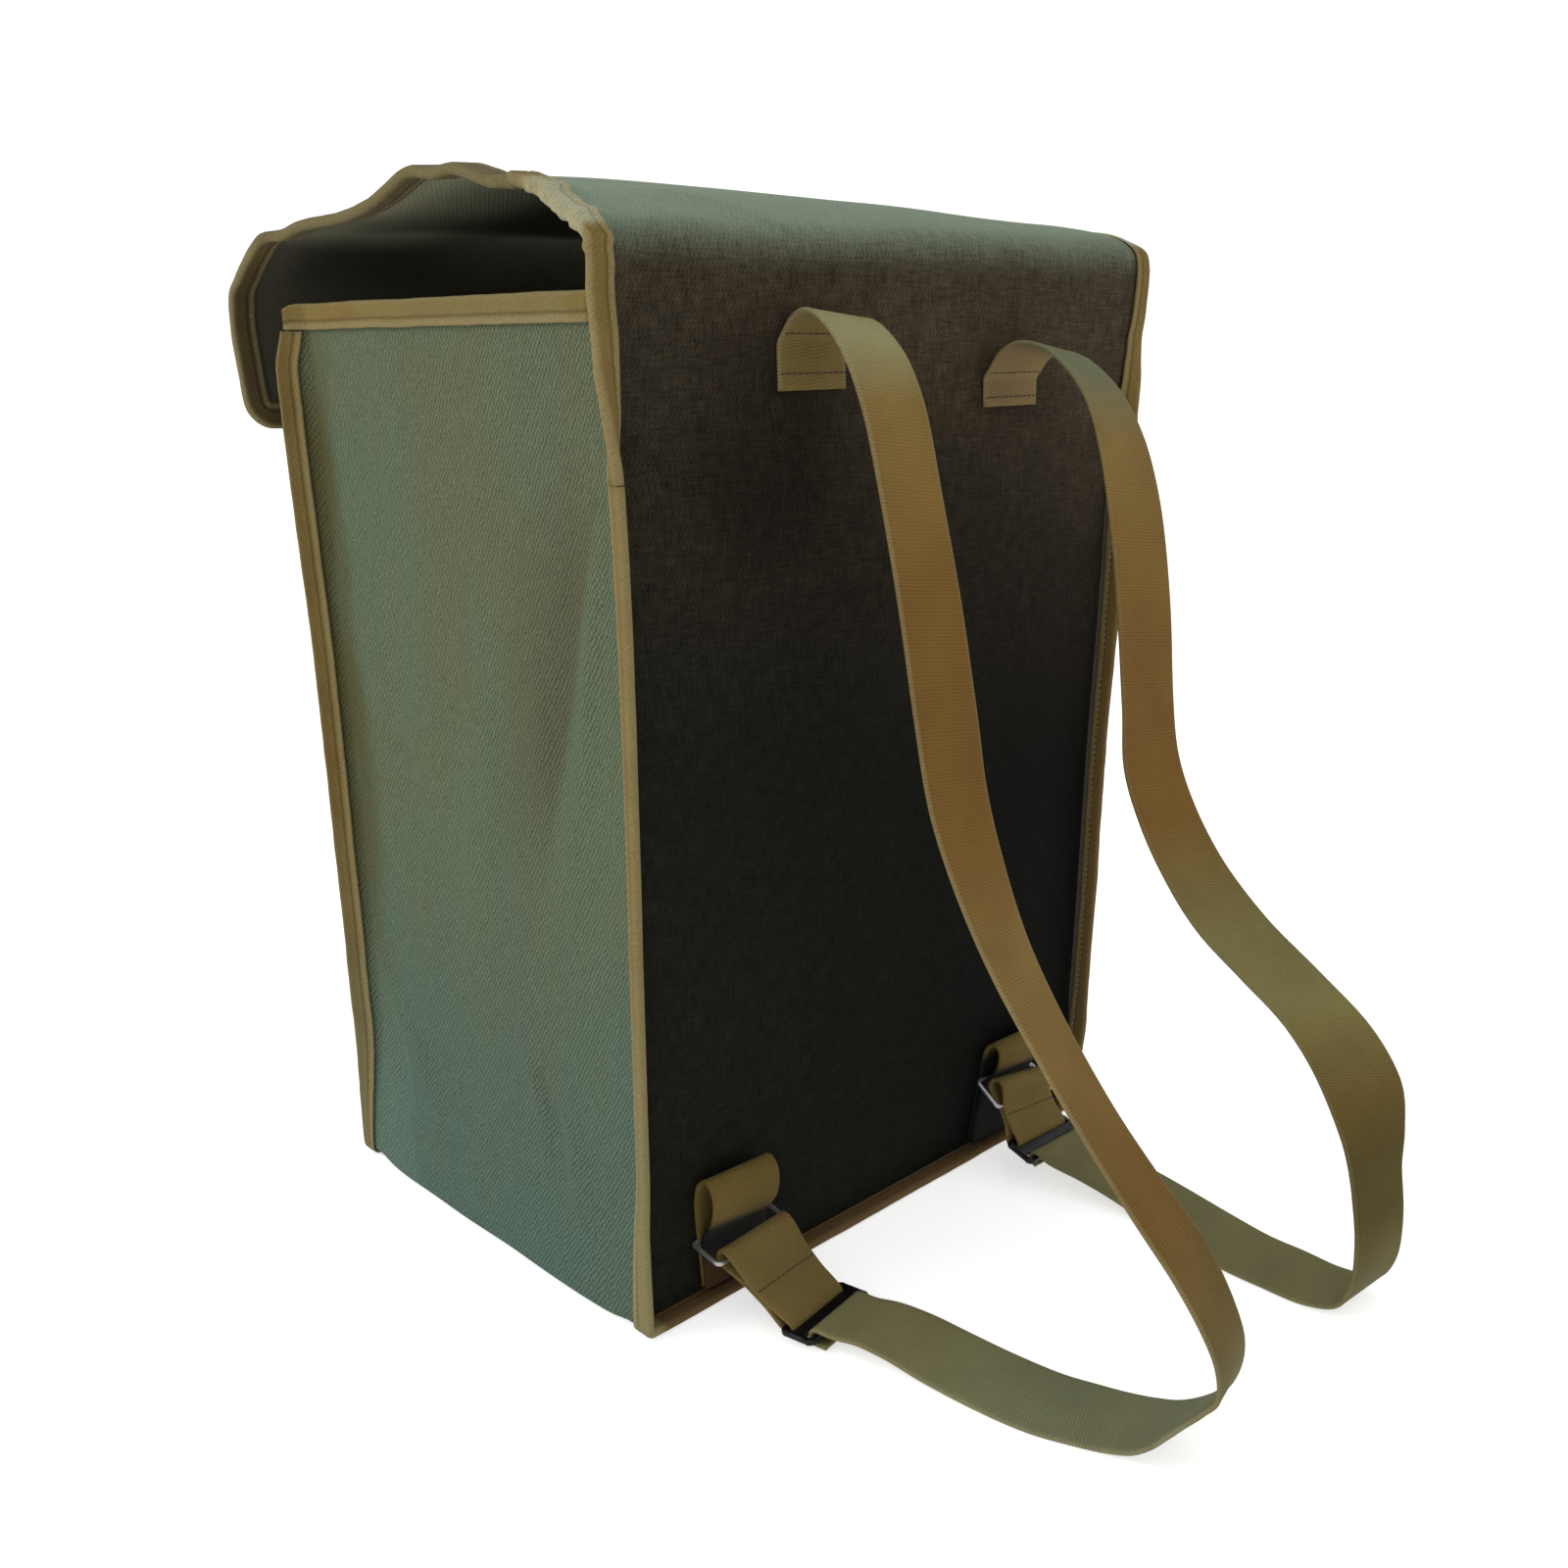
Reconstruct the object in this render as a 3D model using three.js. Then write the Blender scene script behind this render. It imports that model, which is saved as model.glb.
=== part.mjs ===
// A canvas tool backpack: a gusset, a front and a back that folds over as the flap, bound with folded tape
// along every edge, with two webbing shoulder straps on wire rings and sliders.
// Millimetres, +Z up. +X is the wearer's right, +Y points out of the back, z = 0 is the floor.
import * as THREE from "three";

// The canvas body
const MOUTH_HEIGHT = 440; // at the back
const MOUTH_FRONT_DROP = 4; // the mouth is this much lower at the front
const BODY_WIDTH = 310.6; // across the gusset at half height
const WIDTH_GAIN = 15.6; // the mouth is this much wider than the floor
const BODY_DEPTH = 224.8;
const CORNER_RADIUS = 5; // where the gusset turns from a side to the bottom
const CANVAS = 1.2;
const SIDE_DISH = 3.5; // the sides hang in this far between their seams
const BASE_FLARE = 7.5; // the sides spread this much at the floor
const FLARE_TOP = 80;
const FRONT_BULGE = 4;
const BACK_BULGE = 4;
const BACK_BOW = 5; // the back seams bow out this far
const BACK_BOW_SKEW = 1.8; // above 1 the bow is fullest above half height
const BACK_BULGE_FULL_AT = 200; // height where the back is fully out
const FOLD_HEIGHT = 454; // where the back starts to fold over
const FOLD_OUT = 4; // the freed edges come level with the middle of the back

// Rows and columns of facets
const CORNER_STEPS = 4;
const LOW_ROWS = [FLARE_TOP, 60, 40, 20];
const SIDE_ROWS = [350, 280, 210, 140, ...LOW_ROWS];
const BASE_STOPS = [130, 68, 0, -68, -130];
const GUSSET_COLUMNS = [-90, -45, 0, 45, 90];
const PANEL_COLUMNS = [1, 0.68, 0.34, 0, -0.34, -0.68, -1];

// Seams and binding
const TAPE = 1.4;
const TAPE_CLEARANCE = 0.6;
const TAPE_NOSE = 1.6; // middle of the folded tape, past the edge that it covers
const TAPE_SHOULDER = 0.2; // where the fold starts to round
const SEAM_TAPE_DEPTH = 8;
const BASE_TAPE_DEPTH = 6.6;
const FREED_TAPE_DEPTH = 5;
const FLAP_TAPE_DEPTH = 9.5;
const FLAP_TAPE_FULL_AT = 0.14; // share of the flap's length
const MOUTH_TAPE_DEPTH = 9.3;
const TAPE_JOINT_HEIGHT = 373; // the flap's tape takes over from the seam's
const TAPE_JOINT_GAP = 0.4;
const BASE_LIFT = 2.2; // the bottom seams stand on their tape
const SEAM_BEND = { out: -CANVAS / 2, past: -4 }; // where the gusset turns out into the seam
const SIDE_SEAM_EDGE = { out: 6.5, past: 6.2 };
const BASE_SEAM_EDGE = { out: -CANVAS / 2, past: 7.2 };
const PANEL_EDGE_STRIP = 4;
const PANEL_EDGE_SIDE = 0.1; // front and back reach this far past the gusset's face
const PANEL_EDGE_BASE = -1.8;
const PANEL_EDGE_MOUTH = -3; // clear of the mouth tape on the sides
const MOUTH_FRONT = MOUTH_HEIGHT - MOUTH_FRONT_DROP;
const FRONT_SEAM_TOP = MOUTH_FRONT - MOUTH_TAPE_DEPTH - 2 * TAPE_JOINT_GAP;
const FRONT_TAPE_END = 4.4; // the front's mouth tape stops this far inside the gusset's face

// The flap
const FLAP_HALF_WIDTH_BACK = 167.2; // cut edge of the canvas, inside the tape
const FLAP_HALF_WIDTH_FRONT = 170.6;
const FLAP_EDGE_STRIP = 14;
const FLAP_EDGE_DROOP = 2;
const FLAP_CORNER_RADIUS = 22;
const FLAP_STEPS = 2; // rows of facets for each row of the table
const FLAP_CORNER_STEPS = 4;

// One row for each bend of the flap from the fold to the hem:
// the heights of its right edge, middle and left edge, and how much of the edge's droop it has
const FLAP_BENDS = [
  { y: 118.6, right: 454, middle: 454, left: 454, droop: 0 },
  { y: 117.4, right: 459, middle: 460, left: 461, droop: 0.15 },
  { y: 109, right: 465, middle: 468, left: 467.5, droop: 0.45 },
  { y: 95, right: 477, middle: 474.5, left: 471, droop: 0.85 },
  { y: 68, right: 482, middle: 480.5, left: 472.5, droop: 1 },
  { y: 36, right: 486.5, middle: 484, left: 472.5, droop: 1 },
  { y: -2, right: 488.5, middle: 484, left: 472, droop: 1 },
  { y: -28, right: 479, middle: 480.5, left: 471, droop: 1 },
  { y: -60, right: 473.5, middle: 476, left: 469, droop: 1 },
  { y: -100, right: 470.5, middle: 471.5, left: 467, droop: 1 },
  { y: -133, right: 467, middle: 467.5, left: 464, droop: 0.9 },
  { y: -151, right: 456.5, middle: 457.5, left: 455, droop: 0.6 },
  { y: -159, right: 443, middle: 442, left: 441, droop: 0.25 },
  { y: -160.5, right: 426, middle: 426, left: 426, droop: 0 },
  { y: -158.5, right: 411, middle: 411, left: 411, droop: 0 },
  { y: -153.5, right: 397, middle: 397, left: 397, droop: 0 },
  { y: -148.5, right: 383, middle: 383, left: 383, droop: 0 },
];

// Webbing and steel
const WEBBING = 2;
const STRAP_WIDTH = 38;
const LOOP_WIDTH = 40; // keeper loops and end loops
const SEWN_GAP = 0.4;
const CLEARANCE = 0.35;
const WIRE = 3;
const RING_WIDTH = 48;
const RING_CORNER = 2.4;
const RING_FACETS = 36;
const WIRE_FACETS = 6;
const FOLD_FACETS = 4;
const SLIDER_WIDTH = 48;
const SLIDER_LENGTH = 22;
const SLIDER_BAR = 3;
const SLIDER_BEVEL = 0.5;
const SLIDER_CORNER = 3;
const SLOT_CORNER = 1;
const WIRE_FOLD = WIRE / 2 + CLEARANCE + WEBBING / 2;
const BAR_FOLD = SLIDER_BAR * Math.SQRT1_2 + CLEARANCE + WEBBING / 2;
const END_LOOP_PINCH = WEBBING / 2 + CLEARANCE / 2;
const END_LOOP_SEWN = { from: 0.42, to: 0.62 }; // shares of the way from ring to slider
const STRAP_TAIL = 7;
const STRAP_LEAD = 4; // the strap comes level with the slider this far out
const STRAP_STEPS = 2;

// Where the hardware hangs on each side: x across, y and z of each bar, slope and yaw in degrees
const HARDWARE = {
  right: {
    keeper: { x: 103.5, lift: 0, lean: 3 },
    ring: { x: 105, upper: { y: 118.3, z: 35 }, lower: { y: 136, z: 32 } },
    slider: { x: 94, y: 170.5, z: 4.9, slope: 0, yaw: 9 },
  },
  left: {
    keeper: { x: -94, lift: 9, lean: 0 },
    ring: { x: -94, upper: { y: 118.6, z: 44 }, lower: { y: 133, z: 37 } },
    slider: { x: -95, y: 148, z: 15, slope: 18, yaw: 0 },
  },
};

const KEEPER_HEIGHT = 58;

// The keeper loop's fold: distance out from the back panel, and height
const KEEPER_FOLDS = [
  { out: 1.4, z: 8 },
  { out: 1.4, z: 24 },
  { out: 1.4, z: 42 },
  { out: 2.2, z: 54 },
  { out: 5.2, z: 63 },
  { out: 10.2, z: 66 },
  { out: 14.2, z: 61 },
  { out: 13.8, z: 53 },
  { out: 10.4, z: 43 },
  { out: 7.4, z: 34 },
  { out: 4.4, z: 25 },
  { out: 3.8, z: 20 },
  { out: 3.8, z: 8 },
];

// One row for each bend of a strap from its sewn end to the slider.
// lift raises the edge on the wearer's left, turn swings the edge on the right outward, both in degrees.
const STRAPS = {
  right: {
    sewn: { x: 57, from: 404, to: 419 },
    bends: [
      { x: 57, y: 122.6, z: 426, lift: -2, turn: 0 },
      { x: 57, y: 128.5, z: 431, lift: -5, turn: 0 },
      { x: 57.5, y: 136, z: 431, lift: -7, turn: 1 },
      { x: 58, y: 145, z: 426, lift: -6, turn: 2 },
      { x: 58, y: 154.5, z: 416.5, lift: -3, turn: 3 },
      { x: 58, y: 165.5, z: 398, lift: 0, turn: 3.5 },
      { x: 58, y: 177, z: 363, lift: 0, turn: 4 },
      { x: 58, y: 188, z: 323, lift: 0, turn: 2.5 },
      { x: 58, y: 198, z: 280, lift: 0, turn: 1.5 },
      { x: 58, y: 206, z: 247, lift: 0, turn: 3.5 },
      { x: 58, y: 217.3, z: 220, lift: 0, turn: 8 },
      { x: 58, y: 234.2, z: 190, lift: 0, turn: 13 },
      { x: 58, y: 257.5, z: 160, lift: 0, turn: 17 },
      { x: 58, y: 285, z: 130, lift: 0, turn: 19 },
      { x: 58, y: 309, z: 107.5, lift: 0, turn: 17 },
      { x: 58, y: 331, z: 88, lift: 0, turn: 15 },
      { x: 58, y: 345, z: 70, lift: 0, turn: 18 },
      { x: 58, y: 350.5, z: 58, lift: -5, turn: 18 },
      { x: 58, y: 351, z: 47, lift: -7, turn: 18 },
      { x: 57.5, y: 346.3, z: 36.8, lift: -11, turn: 14 },
      { x: 57, y: 340, z: 28, lift: -10, turn: 11 },
      { x: 57, y: 332.5, z: 19.5, lift: -6, turn: 11 },
      { x: 57, y: 324.5, z: 12, lift: -2, turn: 14 },
      { x: 57.5, y: 315.5, z: 6.5, lift: 3, turn: 16 },
      { x: 60, y: 304, z: 3.4, lift: 5, turn: 18 },
      { x: 65.5, y: 291.5, z: 3.4, lift: 6, turn: 19 },
      { x: 71.5, y: 276, z: 3.6, lift: 7, turn: 14 },
      { x: 75.5, y: 252, z: 3.6, lift: 7, turn: 8 },
      { x: 78.5, y: 228, z: 4.6, lift: 6, turn: 6 },
      { x: 83, y: 209, z: 8, lift: 3, turn: 8 },
      { x: 88, y: 196, z: 10.2, lift: 1, turn: 9 },
    ],
  },
  left: {
    sewn: { x: -70, from: 393.5, to: 402 },
    bends: [
      { x: -70, y: 123.5, z: 409, lift: 0, turn: 0 },
      { x: -69, y: 129.5, z: 415.5, lift: -4, turn: 2 },
      { x: -67.5, y: 139, z: 419, lift: -8, turn: 5 },
      { x: -65.5, y: 152, z: 417.5, lift: -8, turn: 9 },
      { x: -63.5, y: 166, z: 410.5, lift: -5, turn: 12 },
      { x: -62, y: 179, z: 399, lift: -2, turn: 11 },
      { x: -62, y: 190, z: 379, lift: 0, turn: 5 },
      { x: -62, y: 199, z: 350, lift: 0, turn: 0 },
      { x: -62, y: 206.5, z: 311, lift: 0, turn: -1 },
      { x: -62, y: 212, z: 270, lift: 0, turn: 0 },
      { x: -62.5, y: 216, z: 243, lift: 0, turn: -4 },
      { x: -63.5, y: 226, z: 220, lift: 0, turn: -6.5 },
      { x: -66.5, y: 240, z: 197, lift: 0, turn: -11 },
      { x: -70.5, y: 259, z: 175, lift: 0, turn: -23 },
      { x: -74, y: 281, z: 156.5, lift: 0, turn: -36 },
      { x: -77.5, y: 303, z: 137, lift: 0, turn: -42 },
      { x: -81, y: 318, z: 116, lift: 0, turn: -35 },
      { x: -85.5, y: 327, z: 92, lift: 0, turn: -15 },
      { x: -89, y: 331.5, z: 69, lift: 0, turn: -5 },
      { x: -92.5, y: 334, z: 43, lift: 0, turn: -4 },
      { x: -94, y: 332.5, z: 22, lift: 0, turn: -3 },
      { x: -94.5, y: 325, z: 8.5, lift: 0, turn: -1 },
      { x: -93.5, y: 310.5, z: 2.6, lift: 3, turn: 0 },
      { x: -92.5, y: 290, z: 2.9, lift: 5, turn: -3 },
      { x: -92.5, y: 270, z: 2.9, lift: 5, turn: -8 },
      { x: -97, y: 243, z: 2.9, lift: 5, turn: -9 },
      { x: -102, y: 217, z: 3.4, lift: 4, turn: -8 },
      { x: -101.5, y: 196, z: 7, lift: 2, turn: -3 },
      { x: -98, y: 178, z: 11, lift: 0, turn: 0 },
    ],
  },
};

const canvas = new THREE.MeshStandardMaterial({ color: 0x5f6b57, roughness: 0.92, metalness: 0 });
const tape = new THREE.MeshStandardMaterial({ color: 0x8a6c3d, roughness: 0.85, metalness: 0 });
const webbing = new THREE.MeshStandardMaterial({ color: 0x80693a, roughness: 0.85, metalness: 0 });
const steel = new THREE.MeshStandardMaterial({ color: 0x3a3c40, roughness: 0.35, metalness: 1 });

const backpack = new THREE.Group();
const vec = (x, y, z) => new THREE.Vector3(x, y, z);
const lerp = THREE.MathUtils.lerp;
const smoothstep = THREE.MathUtils.smoothstep;
const range = (count) => Array.from({ length: count }, (_, i) => i);
const mixEdge = (a, b, t) => ({ out: lerp(a.out, b.out, t), past: lerp(a.past, b.past, t) });

function add(name, geometry, material) {
  const mesh = new THREE.Mesh(geometry, material);
  mesh.name = name;
  backpack.add(mesh);
  return mesh;
}

// A wall of even thickness on a grid of points in its middle, split along the shorter diagonals.
// A loop's last row joins its first.
function wall(grid, thickness, loop = false) {
  const rows = grid.length;
  const columns = grid[0].length;
  const steps = loop ? rows : rows - 1;
  const at = (i, j) => (i % rows) * columns + j;
  const points = grid.flat();
  const normals = points.map(() => vec(0, 0, 0));
  for (let i = 0; i < steps; i++) {
    for (let j = 0; j < columns - 1; j++) {
      const corners = [at(i, j), at(i + 1, j), at(i + 1, j + 1), at(i, j + 1)];
      const across = points[corners[2]].clone().sub(points[corners[0]]);
      const normal = across.cross(points[corners[3]].clone().sub(points[corners[1]]));
      corners.forEach((corner) => normals[corner].add(normal));
    }
  }
  normals.forEach((normal) => normal.setLength(thickness / 2));
  const face = (side) => points.map((point, i) => point.clone().addScaledVector(normals[i], side));
  const vertices = [...face(1), ...face(-1)];
  const under = (i) => i + points.length;
  const triangles = [];
  const quad = (a, b, c, d) => triangles.push(a, b, c, a, c, d);
  for (let i = 0; i < steps; i++) {
    for (let j = 0; j < columns - 1; j++) {
      const corners = [at(i, j), at(i + 1, j), at(i + 1, j + 1), at(i, j + 1)];
      const [first, second] = [0, 1].map((k) => points[corners[k]].distanceTo(points[corners[k + 2]]));
      if (first > second) corners.push(corners.shift());
      const [a, b, c, d] = corners;
      quad(a, b, c, d);
      quad(under(a), under(d), under(c), under(b));
    }
    const rims = [[at(i + 1, 0), at(i, 0)], [at(i, columns - 1), at(i + 1, columns - 1)]];
    rims.forEach(([a, b]) => quad(a, b, under(b), under(a)));
  }
  if (!loop) {
    for (let j = 0; j < columns - 1; j++) {
      const ends = [[at(0, j), at(0, j + 1)], [at(rows - 1, j + 1), at(rows - 1, j)]];
      ends.forEach(([a, b]) => quad(a, b, under(b), under(a)));
    }
  }
  const coordinates = vertices.flatMap((point) => point.toArray());
  const geometry = new THREE.BufferGeometry();
  geometry.setAttribute("position", new THREE.Float32BufferAttribute(coordinates, 3));
  geometry.setIndex(triangles);
  geometry.computeVertexNormals();
  return geometry;
}

// A tape folded over an edge. Each station has the edge's point, the way out of the edge and the depth,
// and may give the way square to the tape.
function foldedTape(stations) {
  const half = CANVAS / 2 + TAPE_CLEARANCE + TAPE / 2;
  const grid = stations.map(({ tip, out, depth, flat }, i) => {
    const before = stations[Math.max(i - 1, 0)].tip;
    const after = stations[Math.min(i + 1, stations.length - 1)].tip;
    const side = flat ?? out.clone().cross(after.clone().sub(before)).normalize();
    const section = [
      [-depth, half],
      [TAPE_SHOULDER, half],
      [TAPE_NOSE, half / 2],
      [TAPE_NOSE, -half / 2],
      [TAPE_SHOULDER, -half],
      [-depth, -half],
    ];
    return section.map(([along, off]) => tip.clone().addScaledVector(out, along).addScaledVector(side, off));
  });
  return wall(grid, TAPE);
}

// A strip of webbing along stations that give its middle and the direction across it
function ribbon(stations, width, loop = false) {
  const edge = width / 2;
  const grid = stations.map(({ middle, across }) => [
    middle.clone().addScaledVector(across, edge),
    middle.clone().addScaledVector(across, -edge),
  ]);
  return wall(grid, WEBBING, loop);
}

// How much of the spread at the floor is left at a height
function flareShare(z) {
  return 1 - smoothstep(z, 0, FLARE_TOP);
}

// Half width of the body to the gusset's outer face
function halfWidth(z) {
  return (BODY_WIDTH + WIDTH_GAIN * (z / MOUTH_HEIGHT - 0.5)) / 2 + BASE_FLARE * flareShare(z);
}

function backBow(z) {
  return BACK_BOW * Math.sin(Math.PI * THREE.MathUtils.clamp(z / MOUTH_HEIGHT, 0, 1) ** BACK_BOW_SKEW);
}

const HALF_DEPTH = BODY_DEPTH / 2;
const CORNER_TOP = BASE_LIFT + CORNER_RADIUS;

// Outer face of the back, without its facets
function backFace(x, z) {
  const rise = Math.sin((Math.PI / 2) * Math.min(1, z / BACK_BULGE_FULL_AT));
  const dome = 1 - Math.min(1, Math.abs(x) / halfWidth(z)) ** 2;
  const freed = smoothstep(z, MOUTH_HEIGHT, FOLD_HEIGHT);
  return HALF_DEPTH + backBow(z) + BACK_BULGE * rise * dome + FOLD_OUT * freed * (1 - dome);
}

// The line where the gusset meets a panel, down one side, along the bottom and up the other.
// Each stop has its place on the gusset's outer face, the way out of the face,
// and base, which runs from 0 up a side to 1 at the bottom.
function sideStop(sign, z) {
  return { x: sign * halfWidth(z), z, nx: sign, nz: 0, base: flareShare(z) };
}

function cornerStop(sign, step) {
  const angle = ((Math.PI / 2) * step) / CORNER_STEPS;
  const reach = halfWidth(CORNER_TOP) - CORNER_RADIUS;
  return {
    x: sign * (reach + CORNER_RADIUS * Math.cos(angle)),
    z: CORNER_TOP - CORNER_RADIUS * Math.sin(angle),
    nx: sign * Math.cos(angle),
    nz: -Math.sin(angle),
    base: 1,
  };
}

function baseStop(x) {
  return { x, z: BASE_LIFT, nx: 0, nz: -1, base: 1 };
}

function seamStops(sideHeights) {
  const down = (sign) => [
    ...sideHeights.map((z) => sideStop(sign, z)),
    ...range(CORNER_STEPS + 1).map((step) => cornerStop(sign, step)),
  ];
  return [...down(1), ...BASE_STOPS.map(baseStop), ...down(-1).reverse()];
}

// A point beside a stop: out from the gusset's face,
// and past the face of the panel on that side, +1 for the back and -1 for the front
function seamPoint(stop, edge, side) {
  const bow = side > 0 ? backBow(stop.z) : 0;
  const y = side * (HALF_DEPTH + bow + edge.past);
  return vec(stop.x + edge.out * stop.nx, y, stop.z + edge.out * stop.nz);
}

const seamEdge = (stop) => mixEdge(SIDE_SEAM_EDGE, BASE_SEAM_EDGE, stop.base);

function seamStation(stop, side) {
  const tip = seamPoint(stop, seamEdge(stop), side);
  const out = tip.clone().sub(seamPoint(stop, SEAM_BEND, side)).normalize();
  return { tip, out, depth: lerp(SEAM_TAPE_DEPTH, BASE_TAPE_DEPTH, Math.sqrt(stop.base)) };
}

// The mouth's edge, level across and sloping to the front
function mouthHeight(y) {
  return lerp(MOUTH_FRONT, MOUTH_HEIGHT, THREE.MathUtils.clamp((y + HALF_DEPTH) / BODY_DEPTH, 0, 1));
}

const GUSSET_SIDE_STOPS = [MOUTH_HEIGHT, FRONT_SEAM_TOP, ...SIDE_ROWS];

function gusset() {
  const grid = seamStops(GUSSET_SIDE_STOPS).map((stop) => {
    const hang = Math.sin(Math.PI * THREE.MathUtils.clamp(stop.z / FRONT_SEAM_TOP, 0, 1));
    const inner = GUSSET_COLUMNS.map((y) => {
      const dish = SIDE_DISH * hang * (1 - (y / HALF_DEPTH) ** 2) * (1 - stop.base);
      const point = seamPoint(stop, { out: -CANVAS / 2 - dish, past: 0 }, 1);
      return vec(point.x, y, point.z - BASE_LIFT * stop.base);
    });
    const row = [
      seamPoint(stop, seamEdge(stop), -1),
      seamPoint(stop, SEAM_BEND, -1),
      ...inner,
      seamPoint(stop, SEAM_BEND, 1),
      seamPoint(stop, seamEdge(stop), 1),
    ];
    return stop.z === MOUTH_HEIGHT ? row.map((point) => point.setZ(mouthHeight(point.y))) : row;
  });
  return wall(grid, CANVAS);
}

// Rows of a panel that fills the seam line: each has a height and half of its width there
function panelRows(heights) {
  const corner = range(CORNER_STEPS + 1).map((step) => {
    const stop = cornerStop(1, CORNER_STEPS - step);
    return { z: stop.z + PANEL_EDGE_BASE * stop.nz, half: stop.x + PANEL_EDGE_BASE * stop.nx };
  });
  const reach = (z) => lerp(PANEL_EDGE_SIDE, PANEL_EDGE_BASE, flareShare(z));
  const up = [...SIDE_ROWS].reverse().concat(heights);
  return [...corner, ...up.map((z) => ({ z, half: halfWidth(z) + reach(z) }))];
}

function rowAcross(half, strip) {
  return [half, ...PANEL_COLUMNS.map((share) => share * (half - strip)), -half];
}

function frontPanel() {
  const mouthRows = [FRONT_SEAM_TOP, MOUTH_FRONT].map((z) => ({ z, half: halfWidth(z) + PANEL_EDGE_MOUTH }));
  const rows = [...panelRows([FRONT_SEAM_TOP - 1]), ...mouthRows];
  const grid = rows.map(({ z, half }) => {
    const rise = Math.sin(Math.PI * THREE.MathUtils.clamp(z / FRONT_SEAM_TOP, 0, 1));
    return rowAcross(half, PANEL_EDGE_STRIP).map((x) => {
      const bulge = FRONT_BULGE * rise * (1 - (x / half) ** 2);
      return vec(x, -HALF_DEPTH + CANVAS / 2 - bulge, z);
    });
  });
  return wall(grid, CANVAS);
}

// Between the mouth and the fold the back's edges leave the seam and swing flat into the flap's tape.
// Each row says how far the swing has gone and how much of the edge strip is in the tape.
const FREED_ROWS = [
  { z: 443.2, swing: 0.25, reach: 0.28 },
  { z: 446, swing: 0.52, reach: 0.45 },
  { z: 448.8, swing: 0.78, reach: 0.7 },
  { z: 451.4, swing: 0.95, reach: 0.92 },
];
const FREED_STRIP = 13;

function freedEdge({ z, swing }) {
  const seamTip = SIDE_SEAM_EDGE;
  const foldTip = { out: FLAP_HALF_WIDTH_BACK - halfWidth(z), past: FLAP_BENDS[0].y - HALF_DEPTH };
  const tip = mixEdge(seamTip, foldTip, swing);
  const seamAngle = Math.atan2(seamTip.past - SEAM_BEND.past, seamTip.out - SEAM_BEND.out);
  const angle = lerp(seamAngle, 0, swing);
  const [inward, back] = [FREED_STRIP * Math.cos(angle), FREED_STRIP * Math.sin(angle)];
  return { tip, bend: { out: tip.out - inward, past: tip.past - back } };
}

function freedRow(row) {
  const { tip, bend } = freedEdge(row);
  const edge = mixEdge(bend, tip, row.reach);
  const half = halfWidth(row.z) + bend.out;
  const inner = PANEL_COLUMNS.slice(1, -1).map((share) => {
    const x = share * half;
    return vec(x, backFace(x, row.z) - CANVAS / 2, row.z);
  });
  const rim = (sign, place) => seamPoint(sideStop(sign, row.z), place, 1);
  return [rim(1, edge), rim(1, bend), ...inner, rim(-1, bend), rim(-1, edge)];
}

// The flap's middle surface. bend runs along the table from 0 at the fold to 1 at the hem.
function flapCurve(column) {
  return new THREE.CatmullRomCurve3(FLAP_BENDS.map((row) => vec(row.y, row[column], row.droop)));
}

const FLAP_CURVES = { right: flapCurve("right"), middle: flapCurve("middle"), left: flapCurve("left") };

function flapHalfWidth(bend) {
  return lerp(FLAP_HALF_WIDTH_BACK, FLAP_HALF_WIDTH_FRONT, bend);
}

function flapPoint(x, bend) {
  const right = FLAP_CURVES.right.getPoint(bend);
  const middle = FLAP_CURVES.middle.getPoint(bend);
  const left = FLAP_CURVES.left.getPoint(bend);
  const share = x / flapHalfWidth(bend);
  const crown = middle.y - (right.y + left.y) / 2;
  const z = middle.y + (share * (right.y - left.y)) / 2 - crown * share ** 2;
  return vec(x, middle.x, z);
}

function flapDroop(x, bend) {
  const step = 0.5 / FLAP_BENDS.length;
  const ahead = flapPoint(x, Math.min(bend + step, 1));
  const along = ahead.sub(flapPoint(x, Math.max(bend - step, 0))).normalize();
  const inward = vec(1, 0, 0).cross(along);
  return inward.multiplyScalar(FLAP_EDGE_DROOP * FLAP_CURVES.middle.getPoint(bend).z);
}

const HEM_SPAN = 2; // the last rows of the table lie in one plane
const HEM_BEND = 1 - HEM_SPAN / (FLAP_BENDS.length - 1);

function hemLength() {
  return flapPoint(0, HEM_BEND).distanceTo(flapPoint(0, 1));
}

// Stops along the flap: bend, and at the rounded corners how far the edge has turned towards the hem
function flapStops() {
  const toHem = range((FLAP_BENDS.length - 1 - HEM_SPAN) * FLAP_STEPS + 1);
  const open = toHem.map((i) => ({ bend: i / ((FLAP_BENDS.length - 1) * FLAP_STEPS), turn: 0 }));
  const corner = range(FLAP_CORNER_STEPS + 1).map((step) => {
    const turn = ((Math.PI / 2) * step) / FLAP_CORNER_STEPS;
    const fromEnd = FLAP_CORNER_RADIUS * (1 - Math.sin(turn));
    return { bend: 1 - ((1 - HEM_BEND) * fromEnd) / hemLength(), turn };
  });
  return [...open, ...corner];
}

function flapEdgeX(stop) {
  return flapHalfWidth(stop.bend) - FLAP_CORNER_RADIUS * (1 - Math.cos(stop.turn));
}

function flapEdge(stop, sign) {
  const x = sign * flapEdgeX(stop);
  const tip = flapPoint(x, stop.bend).add(flapDroop(x, stop.bend));
  const bend = flapPoint(x - sign * FLAP_EDGE_STRIP, stop.bend);
  return { tip, bend };
}

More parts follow.
